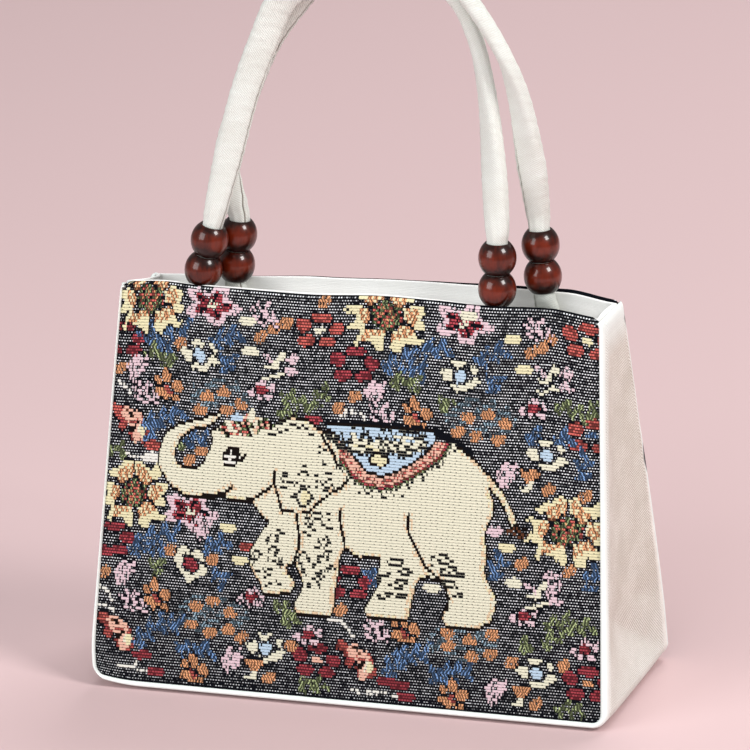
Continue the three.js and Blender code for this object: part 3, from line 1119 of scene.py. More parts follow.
    def bits(self) -> None:
        """Lay the loose petals, small blooms and pale twigs of the ground."""
        for x, z, letter in (
            (-54.5, 173, "c"), (76, 173, "y"), (-52, 159.5, "c"), (82.5, 159.5, "y"), (82, 62.5, "c"),
            (-53, 62.5, "y"), (-60, 77, "y"), (77.5, 78.5, "y"), (41.5, 57, "c"), (55, 182.5, "c"),
            (-99, 106.5, "w"), (72, 85.5, "p"), (-2, 181, "y"),
        ):
            self.paint(self.oval(x, z, 4.4, 2.2), letter)
        for x, z in (
            (-41, 171), (-47, 166.5), (-35, 174), (94, 173), (86, 167.5), (91, 170), (-116, 147), (1, 141.5),
            (-7.5, 136.5), (97, 106), (115, 105), (108.5, 70), (85, 71.5), (-67, 61.5), (-88, 64), (-37, 8),
            (95, 7), (-26, 24.5), (-51, 26), (82.5, 25.5), (107.5, 26), (-122, 51), (-2, 43), (-16, 184.5),
            (-87, 160),
        ):
            self.paint(self.oval(x, z, 3.6, 2.7, 30), "o", 0.92)
        for x, z, letter in (
            (-102, 13.5, "d"), (-94, 6, "d"), (21, 11.5, "d"), (28, 10, "d"), (31, 4.8, "d"), (-99, 112, "r"),
            (-122, 61, "d"), (-49, 69, "r"), (-20, 130, "d"),
        ):
            self.paint(self.oval(x, z, 5, 2.2), letter)
        for line in (
            [(-120, 142), (-116, 140), (-112, 135.5)], [(-112, 107.5), (-104, 105.5), (-97, 105.5)],
            [(-126, 46), (-120, 42), (-117, 37)], [(-125, 35.5), (-117, 33.5)], [(-105, 10.5), (-104, 8)],
            [(-9, 38.5), (-3, 38.5), (1, 34.5), (4, 31.5)], [(-113, 7.5), (-104, 7), (-99, 5.5)],
            [(5, 5.4), (8, 5.4)], [(12, 5.2), (22, 6)], [(24, 4.6), (27, 4.6)],
            [(-4, 136), (4, 133.5), (7, 131)], [(-7, 133), (1, 135)],
        ):
            self.paint(self.near(line, 0.8), "w", 0.75)

    def elephant(self) -> None:
        """Lay the elephant: dark rim, cream body shaded along its right edges, lines and marks."""
        body = self.near(TAIL, 1.4)
        for outline in (ELEPHANT_BODY, FAR_FORELEG, NEAR_FORELEG, FAR_HIND_LEG, NEAR_HIND_LEG):
            body |= self.within(outline)
        self.paint(self.near(BACK_SHADE, 1.6), "q", 0.9)
        self.paint(self.grown(body), "k")
        self.paint(body, "c")
        edge = body & ~(np.roll(body, -3, axis=1) & np.roll(body, 1, axis=0))
        self.paint(edge, "t", 0.4)
        self.paint(edge & (self.luck > 0.8), "y")
        for line in INNER_LINES.values():
            gap = self.distance(line)
            self.paint((gap < 2.4) & body, "t", 0.25)
            self.paint(gap < 0.7, "k")
        self.paint(self.near(TASSEL, 2.6), "k", 0.75)
        self.paint(self.near(TASSEL_SHEEN, 2.4), "e", 0.3)
        for place in MARK_PLACES:
            self.figure(place)
        for x, z, half in EAR_DASHES:
            self.paint((np.abs(self.x - x) < half) & (np.abs(self.z - z) < self.loom.row / 2), "x")

    def saddle(self) -> None:
        """Lay the saddle cloth: blue field with marks, and bands of border by distance from it.

        From the field outwards come a dark line, peach with a row of red dashes, a dark red line, and
        a fringe of green dashes and dark marks on cream.
        """
        off = self.distance(SADDLE_FIELD[1:] + SADDLE_FIELD[:1])
        field = self.within(SADDLE_FIELD)
        below = ~field & (self.z < 124) & (self.x > -6) & (self.x < 57)
        turns = np.sin(self.x * 1.9 + self.row * 1.6) > 0
        fringe = 9.4 + 1.2 * np.sin(self.x * 0.9)
        for reach, first, second in ((fringe, "c", "x"), (7.6, "h", "x"), (6.4, "d", "e"), (5.2, "m", "u"),
                                     (3.9, "r", "m"), (2.7, "m", "u"), (1.1, "k", "e")):
            band = below & (off < reach)
            self.paint(band, first)
            self.paint(band & turns & (self.luck < 0.8), second)
        self.paint(self.grown(field), "k")
        self.paint(field, "s")
        self.figure(Place("saddle_marks", 13.5, 122.5))
        self.paint(self.oval(13.5, 113.6, 5.2, 3.4), "k")
        self.paint(self.oval(13.5, 113.6, 3.9, 2.2), "y")

    def head_piece(self) -> None:
        """Lay the head piece: rows of short red, green, cream and dark dashes on the brow."""
        brow = self.within(BROW)
        spread = np.abs(np.sin(np.floor(self.x / 1.4 + self.row * 0.5) * 5.1 + self.row * 3.7))
        pick = np.modf(spread * 9.7)[0]
        for low, letter in ((0.0, "k"), (0.22, "c"), (0.48, "h"), (0.62, "r"), (0.74, "m"), (0.86, "t")):
            self.paint(brow & (pick >= low), letter)
        self.paint(self.oval(-57, 128.2, 3.2, 1.9), "s")
        self.paint(self.oval(-50, 130, 1.6, 3.2), "c")

    def curl(self) -> None:
        """Lay the leaf and the two blooms inside the trunk's curl."""
        hole = self.within(CURL)
        self.paint(hole, "n")
        self.spray(-77, 117.5, 13, 14, "b", 3.6)
        self.paint(hole & self.oval(-85, 112.5, 1.8, 1.8), "g")
        self.paint(hole & self.oval(-75, 111.5, 3.6, 2.2), "o")
        self.paint(hole & self.oval(-80, 107, 3.2, 2.6), "o")

    def weave(self) -> Array:
        """Lay everything in order, with dark rows at the foot.

        Returns:
            The number of each cell's yarn, by row and column.
        """
        self.flowers()
        self.leaves()
        self.bits()
        for figure, places in FIGURE_PLACES.items():
            for place in places:
                self.figure(Place(figure, *place))
        self.curl()
        self.elephant()
        self.saddle()
        self.head_piece()
        self.paint(self.z < 1.3, "q")
        self.paint(self.z < 4.0, "q", 0.25)
        return self.cell


class Signal:
    """A number or colour that a material's nodes work out, for use in formulas."""

    def __init__(self, recipe: "Recipe", socket: Socket) -> None:
        """Keep the socket that gives the value, and the recipe whose nodes take it further."""
        self.recipe = recipe
        self.socket = socket

    def __add__(self, other: "Feed") -> "Signal":
        """Sum of two values."""
        return self.recipe.math("ADD", self, other)

    def __sub__(self, other: "Feed") -> "Signal":
        """Difference of two values."""
        return self.recipe.math("SUBTRACT", self, other)

    def __rsub__(self, other: float) -> "Signal":
        """A number less the value."""
        return self.recipe.math("SUBTRACT", other, self)

    def __mul__(self, other: "Feed") -> "Signal":
        """Product of two values."""
        return self.recipe.math("MULTIPLY", self, other)

    def __mod__(self, other: float) -> "Signal":
        """What is left over after whole steps of a number."""
        return self.recipe.math("FLOORED_MODULO", self, other)

    def __abs__(self) -> "Signal":
        """The value without its sign."""
        return self.recipe.math("ABSOLUTE", self)

    def whole(self) -> "Signal":
        """The value rounded down."""
        return self.recipe.math("FLOOR", self)

    def part(self) -> "Signal":
        """How far the value is past its whole part."""
        return self.recipe.math("FRACT", self)

    def off_middle(self) -> "Signal":
        """How far the value's part lies from the middle of its whole step."""
        return abs(self.part() - 0.5)

    def at_least(self, other: "Feed") -> "Signal":
        """The greater of two values."""
        return self.recipe.math("MAXIMUM", self, other)

    def ramp(self, start: float, end: float, low: float = 0.0, high: float = 1.0) -> "Signal":
        """Lead the value over a smooth step.

        Args:
            start: Value where the step starts.
            end: Value where it ends.
            low: Result at the start.
            high: Result at the end.

        Returns:
            The result.
        """
        node = self.recipe.node("MapRange", Value=self, From_Min=start, From_Max=end, To_Min=low, To_Max=high)
        node.interpolation_type = "SMOOTHSTEP"
        return Signal(self.recipe, node.outputs["Result"])


Feed = Signal | float


class Recipe:
    """A material in the making, with short ways to add and join its nodes."""

    def __init__(self, name: str) -> None:
        """Start a material with one Principled surface.

        Args:
            name: The material's name.
        """
        self.material = bpy.data.materials.new(name)
        self.material.use_nodes = True
        self.tree = self.material.node_tree
        self.surface = self.tree.nodes["Principled BSDF"]

    def feed(self, socket: Socket, value: Feed | Colour) -> None:
        """Join a socket to a signal, or set it to a constant.

        Args:
            socket: The socket.
            value: The signal or the constant.
        """
        if isinstance(value, Signal):
            self.tree.links.new(value.socket, socket)
        else:
            socket.default_value = value

    def node(self, kind: str, **values: Feed | Colour) -> bpy.types.Node:
        """Add a node.

        Args:
            kind: The node's type, without its prefix.
            values: What its inputs take by name, with _ for a space.

        Returns:
            The node.
        """
        node = self.tree.nodes.new(f"ShaderNode{kind}")
        for name, value in values.items():
            self.feed(node.inputs[name.replace("_", " ")], value)
        return node

    def math(self, operation: str, *values: Feed) -> Signal:
        """Add a Math node.

        Args:
            operation: What it works out.
            values: Its inputs, in order.

        Returns:
            The result.
        """
        node = self.node("Math")
        node.operation = operation
        for socket, value in zip(node.inputs, values):
            self.feed(socket, value)
        return Signal(self, node.outputs[0])

    def mix(self, share: Feed, low: Feed | Colour, high: Feed | Colour) -> Signal:
        """Mix of two colours by a share.

        Args:
            share: Share of the second colour.
            low: First colour.
            high: Second colour.

        Returns:
            The mixed colour.
        """
        node = self.node("Mix")
        node.data_type = "RGBA"
        inputs = [socket for socket in node.inputs if socket.enabled]
        for socket, value in zip(inputs, (share, low, high)):
            self.feed(socket, value)
        return Signal(self, next(socket for socket in node.outputs if socket.enabled))

    def noise(self, place: Signal, scale: float = 1.0, detail: float = 2.0, roughness: float = 0.5) -> Signal:
        """Soft noise from 0 to 1 at a place."""
        node = self.node("TexNoise", Vector=place, Scale=scale, Detail=detail, Roughness=roughness)
        return Signal(self, node.outputs["Fac"])

    def luck(self, x: Signal, y: Signal) -> Signal:
        """Draw a number for each whole x and y.

        Args:
            x: First place.
            y: Second place.

        Returns:
            The numbers, from 0 to 1.
        """
        node = self.node("TexWhiteNoise")
        node.noise_dimensions = "2D"
        self.feed(node.inputs["Vector"], Signal(self, self.node("CombineXYZ", X=x, Y=y).outputs[0]))
        return Signal(self, node.outputs["Value"])

    def stretched(self, place: Signal, scale: Triple) -> Signal:
        """A place scaled along each axis."""
        return Signal(self, self.node("Mapping", Vector=place, Scale=scale).outputs[0])

    def cloth_place(self, name: str) -> tuple[Signal, Signal, Signal]:
        """Read a UV map.

        Args:
            name: The map's name.

        Returns:
            The place, and its two numbers.
        """
        node = self.node("UVMap")
        node.uv_map = name
        place = Signal(self, node.outputs[0])
        parts = self.node("SeparateXYZ", Vector=place).outputs
        return place, Signal(self, parts["X"]), Signal(self, parts["Y"])

    def object_place(self, scale: Triple) -> Signal:
        """Object coordinates, scaled along each axis."""
        return self.stretched(Signal(self, self.node("TexCoord").outputs["Object"]), scale)

    def attribute(self, name: str) -> list[Signal]:
        """Read a colour attribute of the mesh.

        Args:
            name: The attribute's name.

        Returns:
            The colour, its red, green and blue, and its alpha.
        """
        node = self.node("Attribute")
        node.attribute_name = name
        colour = Signal(self, node.outputs["Color"])
        parts = self.node("SeparateColor", Color=colour).outputs
        return [colour, *(Signal(self, part) for part in parts), Signal(self, node.outputs["Alpha"])]

    def relief(self, height: Signal, distance: float, strength: float) -> None:
        """Give the surface a bump of a height's range, in metres."""
        bump = self.node("Bump", Height=height, Distance=distance, Strength=strength)
        self.feed(self.surface.inputs["Normal"], Signal(self, bump.outputs[0]))

    def dress(self, **values: Feed | Colour) -> Material:
        """Set the surface's sockets.

        Args:
            values: What they take by name, with _ for a space.

        Returns:
            The material.
        """
        for name, value in values.items():
            self.feed(self.surface.inputs[name.replace("_", " ")], value)
        return self.material


@dataclass(frozen=True)
class TapestryFinish:
    """Jacquard: dashes, slanted strokes and closed floats of coloured thread over a dark ground."""

    ground: str = "04050b"
    roughness: float = 0.82
    bump: float = 0.35 * MM
    dash_share: float = 0.87
    dash_height: float = 0.17
    stroke_count: float = 0.74
    stroke_shade: float = 0.07
    close_shade: float = 0.12

    def make(self) -> Material:
        """Weave the threads that the mesh's colour attributes name.

        Across the cloth the weave map counts dashes, and up it counts rows. Rows are shifted by half
        a dash in turn. A dash is a box with soft edges, larger where the dots lie close, and fainter in
        long streaks and towards the foot. Strokes are slanted lines whose slant changes from patch to
        patch and whose brightness changes from piece to piece, with a gap between rows darkened as
        painted shade. Floats fill their cell but for painted shade between rows and a painted shadow
        speck at the end of every other dash, and marked ones carry a dark dash. Plain threads are
        painted darker towards the edges of their row, as painted shade. Under strokes and close dots
        lies a deep shade of their own colour.

        Returns:
            The material.
        """
        recipe = Recipe("tapestry")
        place, across, up = recipe.cloth_place("weave")
        thread = recipe.attribute("thread")[0]
        _, dots, strokes, floats, close = recipe.attribute("lie")
        row, in_row = up.whole(), up.part()
        shifted = across * self.dash_share + row % 2.0 * 0.5
        dash, in_dash = shifted.whole(), shifted.part()
        off_row, off_dash = abs(in_row - 0.5), abs(in_dash - 0.5)
        luck = recipe.luck(dash, row)
        run = recipe.noise(recipe.stretched(place, (0.16, 0.9, 1.0)))
        streak = recipe.noise(recipe.stretched(place, (0.035, 0.45, 1.0)))
        past_end = off_dash - (run.ramp(0.56, 0.74, 0.26, 0.5) + close * 0.12)
        past_edge = off_row - (close * 0.11 + self.dash_height)
        box = past_end.ramp(0.06, -0.06) * past_edge.ramp(0.07, -0.07)
        lit_dash = box * luck.ramp(0.05, 0.5, 0.15, 1.15) * streak.ramp(0.36, 0.52, 0.5)
        lit_dash = lit_dash * up.ramp(0.0, 80.0, 0.62)
        slant = recipe.luck((across * 0.4).whole(), (up * 0.45).whole()).ramp(0.45, 0.55, -0.42, 0.42)
        lines = across * (close * 0.12 + self.stroke_count) + up * slant + run * 1.5
        line = lines.whole()
        piece = (up * 0.5 + line * 0.37).whole()
        bright = recipe.luck(line, piece).ramp(0.1, 0.8, 0.1, 1.05).at_least(close * 0.72)
        inside = (lines.off_middle() - close * 0.1).ramp(0.28, 0.06)
        # painted shade: strokes darken in the gap between rows
        stroke = (inside * bright * off_row.ramp(0.5, 0.28, 0.25)).at_least(close * 0.07)
        # painted shadow specks at the ends of every other dash, and painted shade between rows, on floats
        stitch_shadow = in_row.ramp(0.4, 0.2) * in_dash.ramp(0.45, 0.65) * ((dash + row) % 2.0)
        groove = stitch_shadow * luck.ramp(0.0, 0.7, 0.1, 0.8) + off_row.ramp(0.28, 0.5, 0.0, 0.55)
        mark = close * off_dash.ramp(0.56, 0.46) * off_row.ramp(0.5, 0.36)
        filled = (1.0 - groove) * (1.0 - mark)
        # painted shade: plain threads darken towards the edges of their row
        plain = (1.0 - (dots + strokes + floats)) * off_row.ramp(0.5, 0.25, 0.7)
        cover = dots * lit_dash + strokes * stroke + floats * filled + plain
        fuzz = recipe.noise(place, 2.3, 3.0)
        lit_thread = recipe.mix(fuzz.ramp(0.3, 0.7, 0.0, 0.2), thread, colour_of("000000"))
        shade = strokes * self.stroke_shade + dots * close * self.close_shade
        under = recipe.mix(shade, colour_of(self.ground), thread)
        recipe.relief(cover + fuzz * 0.4, self.bump, 0.3)
        return recipe.dress(Base_Color=recipe.mix(cover, under, lit_thread), Roughness=self.roughness,
                            Specular_IOR_Level=0.05)


@dataclass(frozen=True)
class TwillFinish:
    """Cream cotton with slanted ribs, on a cloth map in millimetres."""

    name: str
    light: str
    shade: str
    pitch: float = 1.3
    slope: float = 0.9
    # how dark the painted shade in the rib valleys is
    contrast: float = 0.75
    bump: float = 0.25 * MM
    seam_at: float | None = None
    seam: str = "6a6156"
    edge_map: str | None = None
    dark: str = "14161d"
    # colour of the painted light on the canvas's edges, front, mouth and foot
    white: str = "f2fbf8"
    yarn_scale: float = 1.9
    tone_scale: float = 0.045

    def make(self) -> Material:
        """Rib the cloth along slanted lines, with uneven yarn and a soft change of tone.

        The rib's phase is the height plus a share of the way across, divided by the pitch. The valleys
        between ribs are painted darker, as painted shade. A seam, if there is one, is a thin shaded
        line along the two edges of the map. An edge map, if there is one, is a colour attribute: red
        says how strong the ribs are, green where dark cloth shows, blue where painted light makes the
        cloth lighter.

        Returns:
            The material.
        """
        recipe = Recipe(self.name)
        place, across, up = recipe.cloth_place("cloth")
        bend = recipe.noise(place, 0.35)
        phase = up + across * self.slope + bend * 0.9
        rib = (phase * (1 / self.pitch)).off_middle().ramp(0.46, 0.18)
        if self.edge_map is not None:
            _, strength, shown, painted_light, _ = recipe.attribute(self.edge_map)
            rib = 1.0 - (1.0 - rib) * strength
        yarn = recipe.noise(place, self.yarn_scale, 3.0, 0.6)
        tone = recipe.noise(place, self.tone_scale, 3.0, 0.6)
        # painted shade: the valleys between ribs are darker; yarn and tone are the cloth's own uneven colour
        depth = rib.ramp(0.0, 1.0, self.contrast, 0.0)
        depth = depth + yarn.ramp(0.35, 0.7, 0.3, 0.0) + tone.ramp(0.3, 0.7, 0.25, 0.0)
        colour = recipe.mix(depth, colour_of(self.light), colour_of(self.shade))
        if self.seam_at is not None:
            edge = recipe.math("PINGPONG", across, self.seam_at / 2)
            colour = recipe.mix(edge.ramp(0.65, 0.15, 0.0, 0.9), colour, colour_of(self.seam))
        if self.edge_map is not None:
            # painted light: the edge map's blue makes the cloth lighter
            colour = recipe.mix(painted_light, colour, colour_of(self.white))
            colour = recipe.mix(shown, colour, colour_of(self.dark))
        recipe.relief(rib + yarn * 0.5, self.bump, 0.5)
        return recipe.dress(Base_Color=colour, Roughness=0.85, Specular_IOR_Level=0.2, Sheen_Weight=0.1,
                            Sheen_Roughness=0.6)


@dataclass(frozen=True)
class LacquerFinish:
    """Dark red-brown wood under a glossy coat."""

    name: str = "bead_wood"
    light: str = "71230c"
    dark: str = "220703"
    grain_scale: Triple = (520.0, 520.0, 170.0)
    cloud_scale: Triple = (95.0, 95.0, 95.0)
    bump: float = 0.04 * MM

    def make(self) -> Material:
        """Streak the wood along its height with noise that is stretched upwards, then coat it.

        Painted shade darkens the rims, most the lower one, where the bead turns away from the light.

        Returns:
            The material.
        """
        recipe = Recipe(self.name)
        _, _, height = recipe.cloth_place("turned")
        # painted shade: darker towards both rims, most the lower one
        rim_shade = height.ramp(0.0, -0.9, 0.0, 0.85) + height.ramp(0.25, 0.95, 0.0, 0.6)
        grain = recipe.noise(recipe.object_place(self.grain_scale), detail=3.0)
        cloud = recipe.noise(recipe.object_place(self.cloud_scale))
        # the wood's colour mixes grain, cloud and the painted rim shade
        wood = grain.ramp(0.35, 0.7, 0.0, 0.3) + cloud.ramp(0.35, 0.7, 0.0, 0.5) + rim_shade
        colour = recipe.mix(wood, colour_of(self.light), colour_of(self.dark))
        recipe.relief(grain, self.bump, 0.25)
        return recipe.dress(Base_Color=colour, Roughness=0.36, Specular_IOR_Level=0.2, Coat_Weight=0.85,
                            Coat_Roughness=0.12, Coat_IOR=1.45)


@dataclass(frozen=True)
class FloorFinish:
    """Plain pale matt floor."""

    name: str = "floor"
    light: str = "d3b8b9"
    roughness: float = 0.9

    def make(self) -> Material:
        """Give the floor its even colour."""
        return Recipe(self.name).dress(Base_Color=colour_of(self.light), Roughness=self.roughness)


@dataclass(frozen=True)
class TapestryPanel:
    """One woven panel: a fine outer face with ribs of thread, a plain inner face and a rounded rim."""

    node: str
    threads: Array
    turned: bool = False
    edge_round: float = 1.0
    corner_power: int = 14
    inner_rows: int = 28
    inner_columns: int = 32
    row_dip: float = 0.9
    bake_width: float = 0.97
    bake_strip: float = 0.98
    bake_height: float = 200.0

    def face(self, rows: int, columns: int) -> tuple[Array, Array]:
        """Grid of points on the regular panel, before relief.

        A point lies at a share of the half width, drawn in near the edges where the corners are
        round, and at the depth of the bag there plus the bulge.

        Args:
            rows: Steps from the lower edge to the mouth.
            columns: Steps across.

        Returns:
            The points, and how far each lies from the nearest edge.
        """
        up = np.linspace(0, 1, rows + 1)[:, None]
        share = np.linspace(-1, 1, columns + 1)[None, :]
        z = FORM.base + up * FORM.height + 0 * share
        inset = FORM.corner_inset(z) * np.abs(share) ** self.corner_power
        x = share * FORM.half_width(z) - np.sign(share) * inset
        y = -FORM.half_depth(z) - FORM.bulge(share, z)
        side = FORM.half_width(z) - FORM.corner_inset(z) - np.abs(x)
        edge = np.minimum(np.minimum(z - FORM.base, FORM.top - z), side)
        return np.stack([x, y, z], axis=-1), np.maximum(edge, 0)

    def relief(self) -> Array:
        """Height of the thread at the outer face's points.

        Half way up a row the ribs have the height of the yarns beside them, and between rows they
        dip to a share of it.

        Returns:
            Heights for two steps to a row.
        """
        height = np.array([yarn.weave.height for yarn in YARNS])[self.threads]
        padded = np.pad(height, 1, mode="edge")
        crest = (padded[1:-1, :-1] + padded[1:-1, 1:]) / 2
        dip = (padded[:-1, :-1] + padded[:-1, 1:] + padded[1:, :-1] + padded[1:, 1:]) / 4 * self.row_dip
        rows = np.empty((2 * len(height) + 1, height.shape[1] + 1))
        rows[0::2], rows[1::2] = dip, crest
        return rows

    def place(self, points: Array) -> Array:
        """Turn the panel to the back if it is the back one, and let it settle."""
        return FORM.settle(points * (-1, -1, 1) if self.turned else points)

    def make(self, finish: Material) -> None:
        """Weave the panel.

        Args:
            finish: The tapestry.
        """
        rows, columns = self.threads.shape
        points, edge = self.face(2 * rows, columns)
        round_off = self.edge_round - np.minimum(edge, self.edge_round)
        recess = self.edge_round - np.sqrt(self.edge_round**2 - round_off**2)
        weave = np.stack([points[..., 0] / LOOM.dash, LOOM.rows * FORM.rise(points[..., 2])], axis=-1)
        flat = points[..., ::2]
        points[..., 1] += recess - self.relief() * unit(edge / self.edge_round)
        skin = Skin(self.node, "cloth")
        outer = skin.add_points(self.place(points))
        inner_points, _ = self.face(self.inner_rows, self.inner_columns)
        inner_flat = inner_points[..., ::2]
        inner_points[..., 1] += FORM.panel_wall
        inner = skin.add_points(self.place(inner_points))
        tint = np.repeat(self.threads, 2, axis=0).reshape(-1)
        self.add(skin, quads(outer), tint, quads(weave), quads(flat), 0.0)
        back = quads(inner)[:, ::-1]
        self.add(skin, back, None, np.zeros((*back.shape, 2)), quads(inner_flat)[:, ::-1], 1.0)
        for line in GRID_EDGES:
            rim = stitch(outer[line], inner[line])[:, ::-1]
            self.add(skin, rim, None, np.zeros((*rim.shape, 2)), np.zeros((*rim.shape, 2)), 1.0)
        piece = skin.make(finish, "tapestry")

    def add(self, skin: Skin, faces: Array, tint: Array | None, weave: Array, flat: Array,
            side: float) -> None:
        """Add faces with their threads.

        Args:
            skin: The mesh in the making.
            faces: Point numbers.
            tint: The yarn of each face, or None for the dark back of the cloth.
            weave: Places in the weave.
            flat: Places across and up, for the bake.
            side: 0 on the outer face and 1 behind it, which takes a narrow strip of the bake.
        """
        numbers = np.full(len(faces), LETTERS.index("q")) if tint is None else tint
        sides = faces.shape[1]
        thread = np.repeat(np.array([colour_of(yarn.colour) for yarn in YARNS])[numbers], sides, axis=0)
        lie = np.repeat(np.array([yarn.weave.weights for yarn in YARNS])[numbers], sides, axis=0)
        strip = self.bake_strip * side
        across = self.bake_width * (flat[..., 0] / FORM.bottom_width + 0.5) * (1 - strip) + strip
        bake = np.stack([across, flat[..., 1] / self.bake_height], axis=-1)
        skin.add_faces(faces, bake, weave=weave, thread=thread, lie=lie)


class Station(NamedTuple):
    """Where the gusset's strip passes: across, height, outward direction, and distance from its ends."""

    x: Array
    z: Array
    nx: Array
    nz: Array
    along: Array
    end: Array


@dataclass(frozen=True)
class Gusset:
    """Canvas strip down the left side, under the base and up the right side, with rolled edges.

    Each pinch presses an edge flat, from one height and fully at another. The bare seams are heights
    of the back right edge where the dark panel shows, with their half spans.
    """

    roll_middle: float = 1.15
    roll_out: float = 1.85
    roll_forward: float = 1.9
    roll_lift: float = 0.2
    roll_start: float = 180.0
    roll_stop: float = -20.0
    tuck_under: float = 0.95
    tuck_share: float = 0.6
    face_gap: float = 0.12
    face_lap: float = 0.57
    lap_start: float = -1.5
    groove_steps: tuple[float, ...] = (0.9, 1.6, 2.2, 2.8, 3.4, 4.0, 4.8, 6.0)
    groove_depth: float = 0.55
    groove_at: float = 3.0
    groove_width: float = 1.1
    hem: float = 8.0
    hem_depth: float = 0.3
    hem_width: float = 0.9
    hem_inset: float = 4.0
    end_round: float = 1.3
    end_thin: float = 0.9
    least_wall: float = 0.5
    left_foot_pinch: float = 1.7
    left_pinch: float = 3.0
    left_full: float = 95.0
    right_pinch: float = 2.7
    right_from: float = 30.0
    right_full: float = 125.0
    front_pinch: float = 1.5
    front_from: float = 25.0
    front_full: float = 135.0
    base_pinch: float = 1.3
    bare_seams: tuple[tuple[float, float], ...] = ((106.0, 13.0), (180.0, 8.0))
    bare_peak: float = 1.35
    bare_loss: float = 0.1
    bare_soft: float = 0.12
    rib_reach: float = 3.0
    rib_least: float = 0.05
    # How strongly and how far painted light makes the cloth lighter at its rolled edges, front, mouth and
    # foot
    rim_lit: float = 0.85
    edge_lit_reach: float = 2.5
    front_lit: float = 0.6
    front_lit_reach: float = 10.0
    mouth_lit_start: float = 1.2
    mouth_lit_reach: float = 16.0
    foot_lit: float = 0.4
    foot_lit_reach: float = 50.0
    base_steps: int = 80
    foot_steps: int = 10
    side_steps: int = 120
    shoulder_steps: int = 12
    roll_steps: int = 14
    middle_steps: int = 11
    roll_allowance: float = 8.0
    mean_side_depth: float = 78.0
    bake_middle: float = 0.24
    bake_span: float = 0.45
    bake_inside: float = 0.5

    def stations(self) -> Station:
        """Follow the panels' outline from the top left corner to the top right one.

        The right half is the base, a quarter circle, the bowed side and part of the round shoulder.
        The left half mirrors it.

        Returns:
            The strip's stations.
        """
        foot, shoulder = FORM.foot_radius, FORM.shoulder_radius
        turn = np.linspace(0, np.pi / 2, self.foot_steps + 1)
        lean = np.linspace(0, np.radians(FORM.shoulder_turn), self.shoulder_steps + 1)
        side = np.linspace(FORM.base + foot, FORM.top - shoulder, self.side_steps + 1)[1:-1]
        z = np.concatenate([FORM.base + foot * (1 - np.cos(turn)), side,
                            FORM.top - shoulder * (1 - np.sin(lean))])
        nx = np.concatenate([np.sin(turn), np.ones(len(side)), np.cos(lean)])
        nz = np.concatenate([-np.cos(turn), np.zeros(len(side)), np.sin(lean)])
        x = FORM.half_width(z) - FORM.corner_inset(z)
        base = np.linspace(0, x[0], self.base_steps // 2 + 1)[:-1]
        x = np.append(base, x)
        z = np.append(np.full(len(base), z[0]), z)
        nx = np.append(np.zeros(len(base)), nx)
        nz = np.append(np.full(len(base), -1.0), nz)
        along = np.append(0, np.cumsum(np.hypot(np.diff(x), np.diff(z))))
        both = [np.append(sign * line[:0:-1], line)[:, None]
                for line, sign in ((x, -1), (z, 1), (nx, -1), (nz, 1), (along, -1))]
        return Station(*both, along[-1] - np.abs(both[-1]))

    @property
    def roll_angle(self) -> Array:
        """Angles of the rolled edge's points about its middle."""
        return np.radians(np.linspace(self.roll_start, self.roll_stop, self.roll_steps))

    def on_roll(self, values: Array) -> Array:
        """Values on the front edge's roll, nothing past it, and the same mirrored for the back edge."""
        return mirrored(np.append(values, np.zeros(len(self.groove_steps) + self.middle_steps)))

    def section(self, depth: Array) -> Array:
        """Places across the strip from its front edge to its back one.

        The rolled edge is part of an ellipse that starts over the panel's face. Then come close steps
        over the seam's groove and even ones to the middle, and the same mirrored behind it.

        Args:
            depth: Half the bag's depth at each station.

        Returns:
            Depths, by station.
        """
        roll = -depth - self.roll_lift - self.roll_forward * np.sin(self.roll_angle)
        groove = np.array(self.groove_steps)
        middle = np.linspace(1, 0, self.middle_steps + 1)[1:]
        half = np.concatenate([roll, -depth + groove, (groove[-1] - depth) * middle], axis=1)
        return np.concatenate([half, -half[:, -2::-1]], axis=1)

    def pinch(self, way: Station, share: Array) -> Array:
        """How far the edges are pinched flat.

        The pinch grows evenly with the height, most at the front left and back right edges, and fades
        from the edge by a power of the share of the depth.

        Args:
            way: The strip's stations.
            share: Places across the strip, from -1 at the front edge to 1 at the back one.

        Returns:
            The pinch.
        """
        right, front = unit(way.nx), unit(-share)
        left_pinch = self.left_pinch - self.left_foot_pinch
        left_pinch = self.left_foot_pinch + left_pinch * climbed(way.z, 0, self.left_full)
        right_pinch = self.right_pinch * climbed(way.z, self.right_from, self.right_full)
        front_pinch = self.front_pinch * climbed(way.z, self.front_from, self.front_full)
        pinch = left_pinch * unit(-way.nx) * front + right_pinch * right * unit(share) ** 3
        pinch = pinch + front_pinch * right * front**3
        return pinch + self.base_pinch * unit(-way.nz) * unit(np.abs(share)) ** 4

    def outer(self, way: Station, y: Array, press: Array) -> Array:
        """How far the outer face stands out from the panels' outline.

        It lies a wall outside the inner face, less the press, the pinch, the groove beside the rolled
        edge and the hem's stitch line.

        Args:
            way: The strip's stations.
            y: Places across the strip.
            press: How far the side is pressed in.

        Returns:
            Distances from the outline.
        """
        depth = FORM.half_depth(way.z)
        past_edge = depth - np.abs(y)
        pinch = self.pinch(way, y / depth)
        groove = self.groove_depth * bell(past_edge - self.groove_at, self.groove_width)
        hem = self.hem_depth * bell(way.end - self.hem, self.hem_width) * unit(past_edge - self.hem_inset)
        face = FORM.gap + FORM.gusset_wall - groove - hem - press
        face = np.maximum(face - pinch, FORM.gap + self.least_wall - press)
        start = self.roll_middle - self.roll_out
        roll = self.on_roll(self.roll_middle + self.roll_out * np.cos(self.roll_angle))
        roll = start + (roll - start) * (1 - pinch / (2 * self.roll_out))
        rolled = self.on_roll(np.ones(self.roll_steps))
        return rolled * roll + (1 - rolled) * face

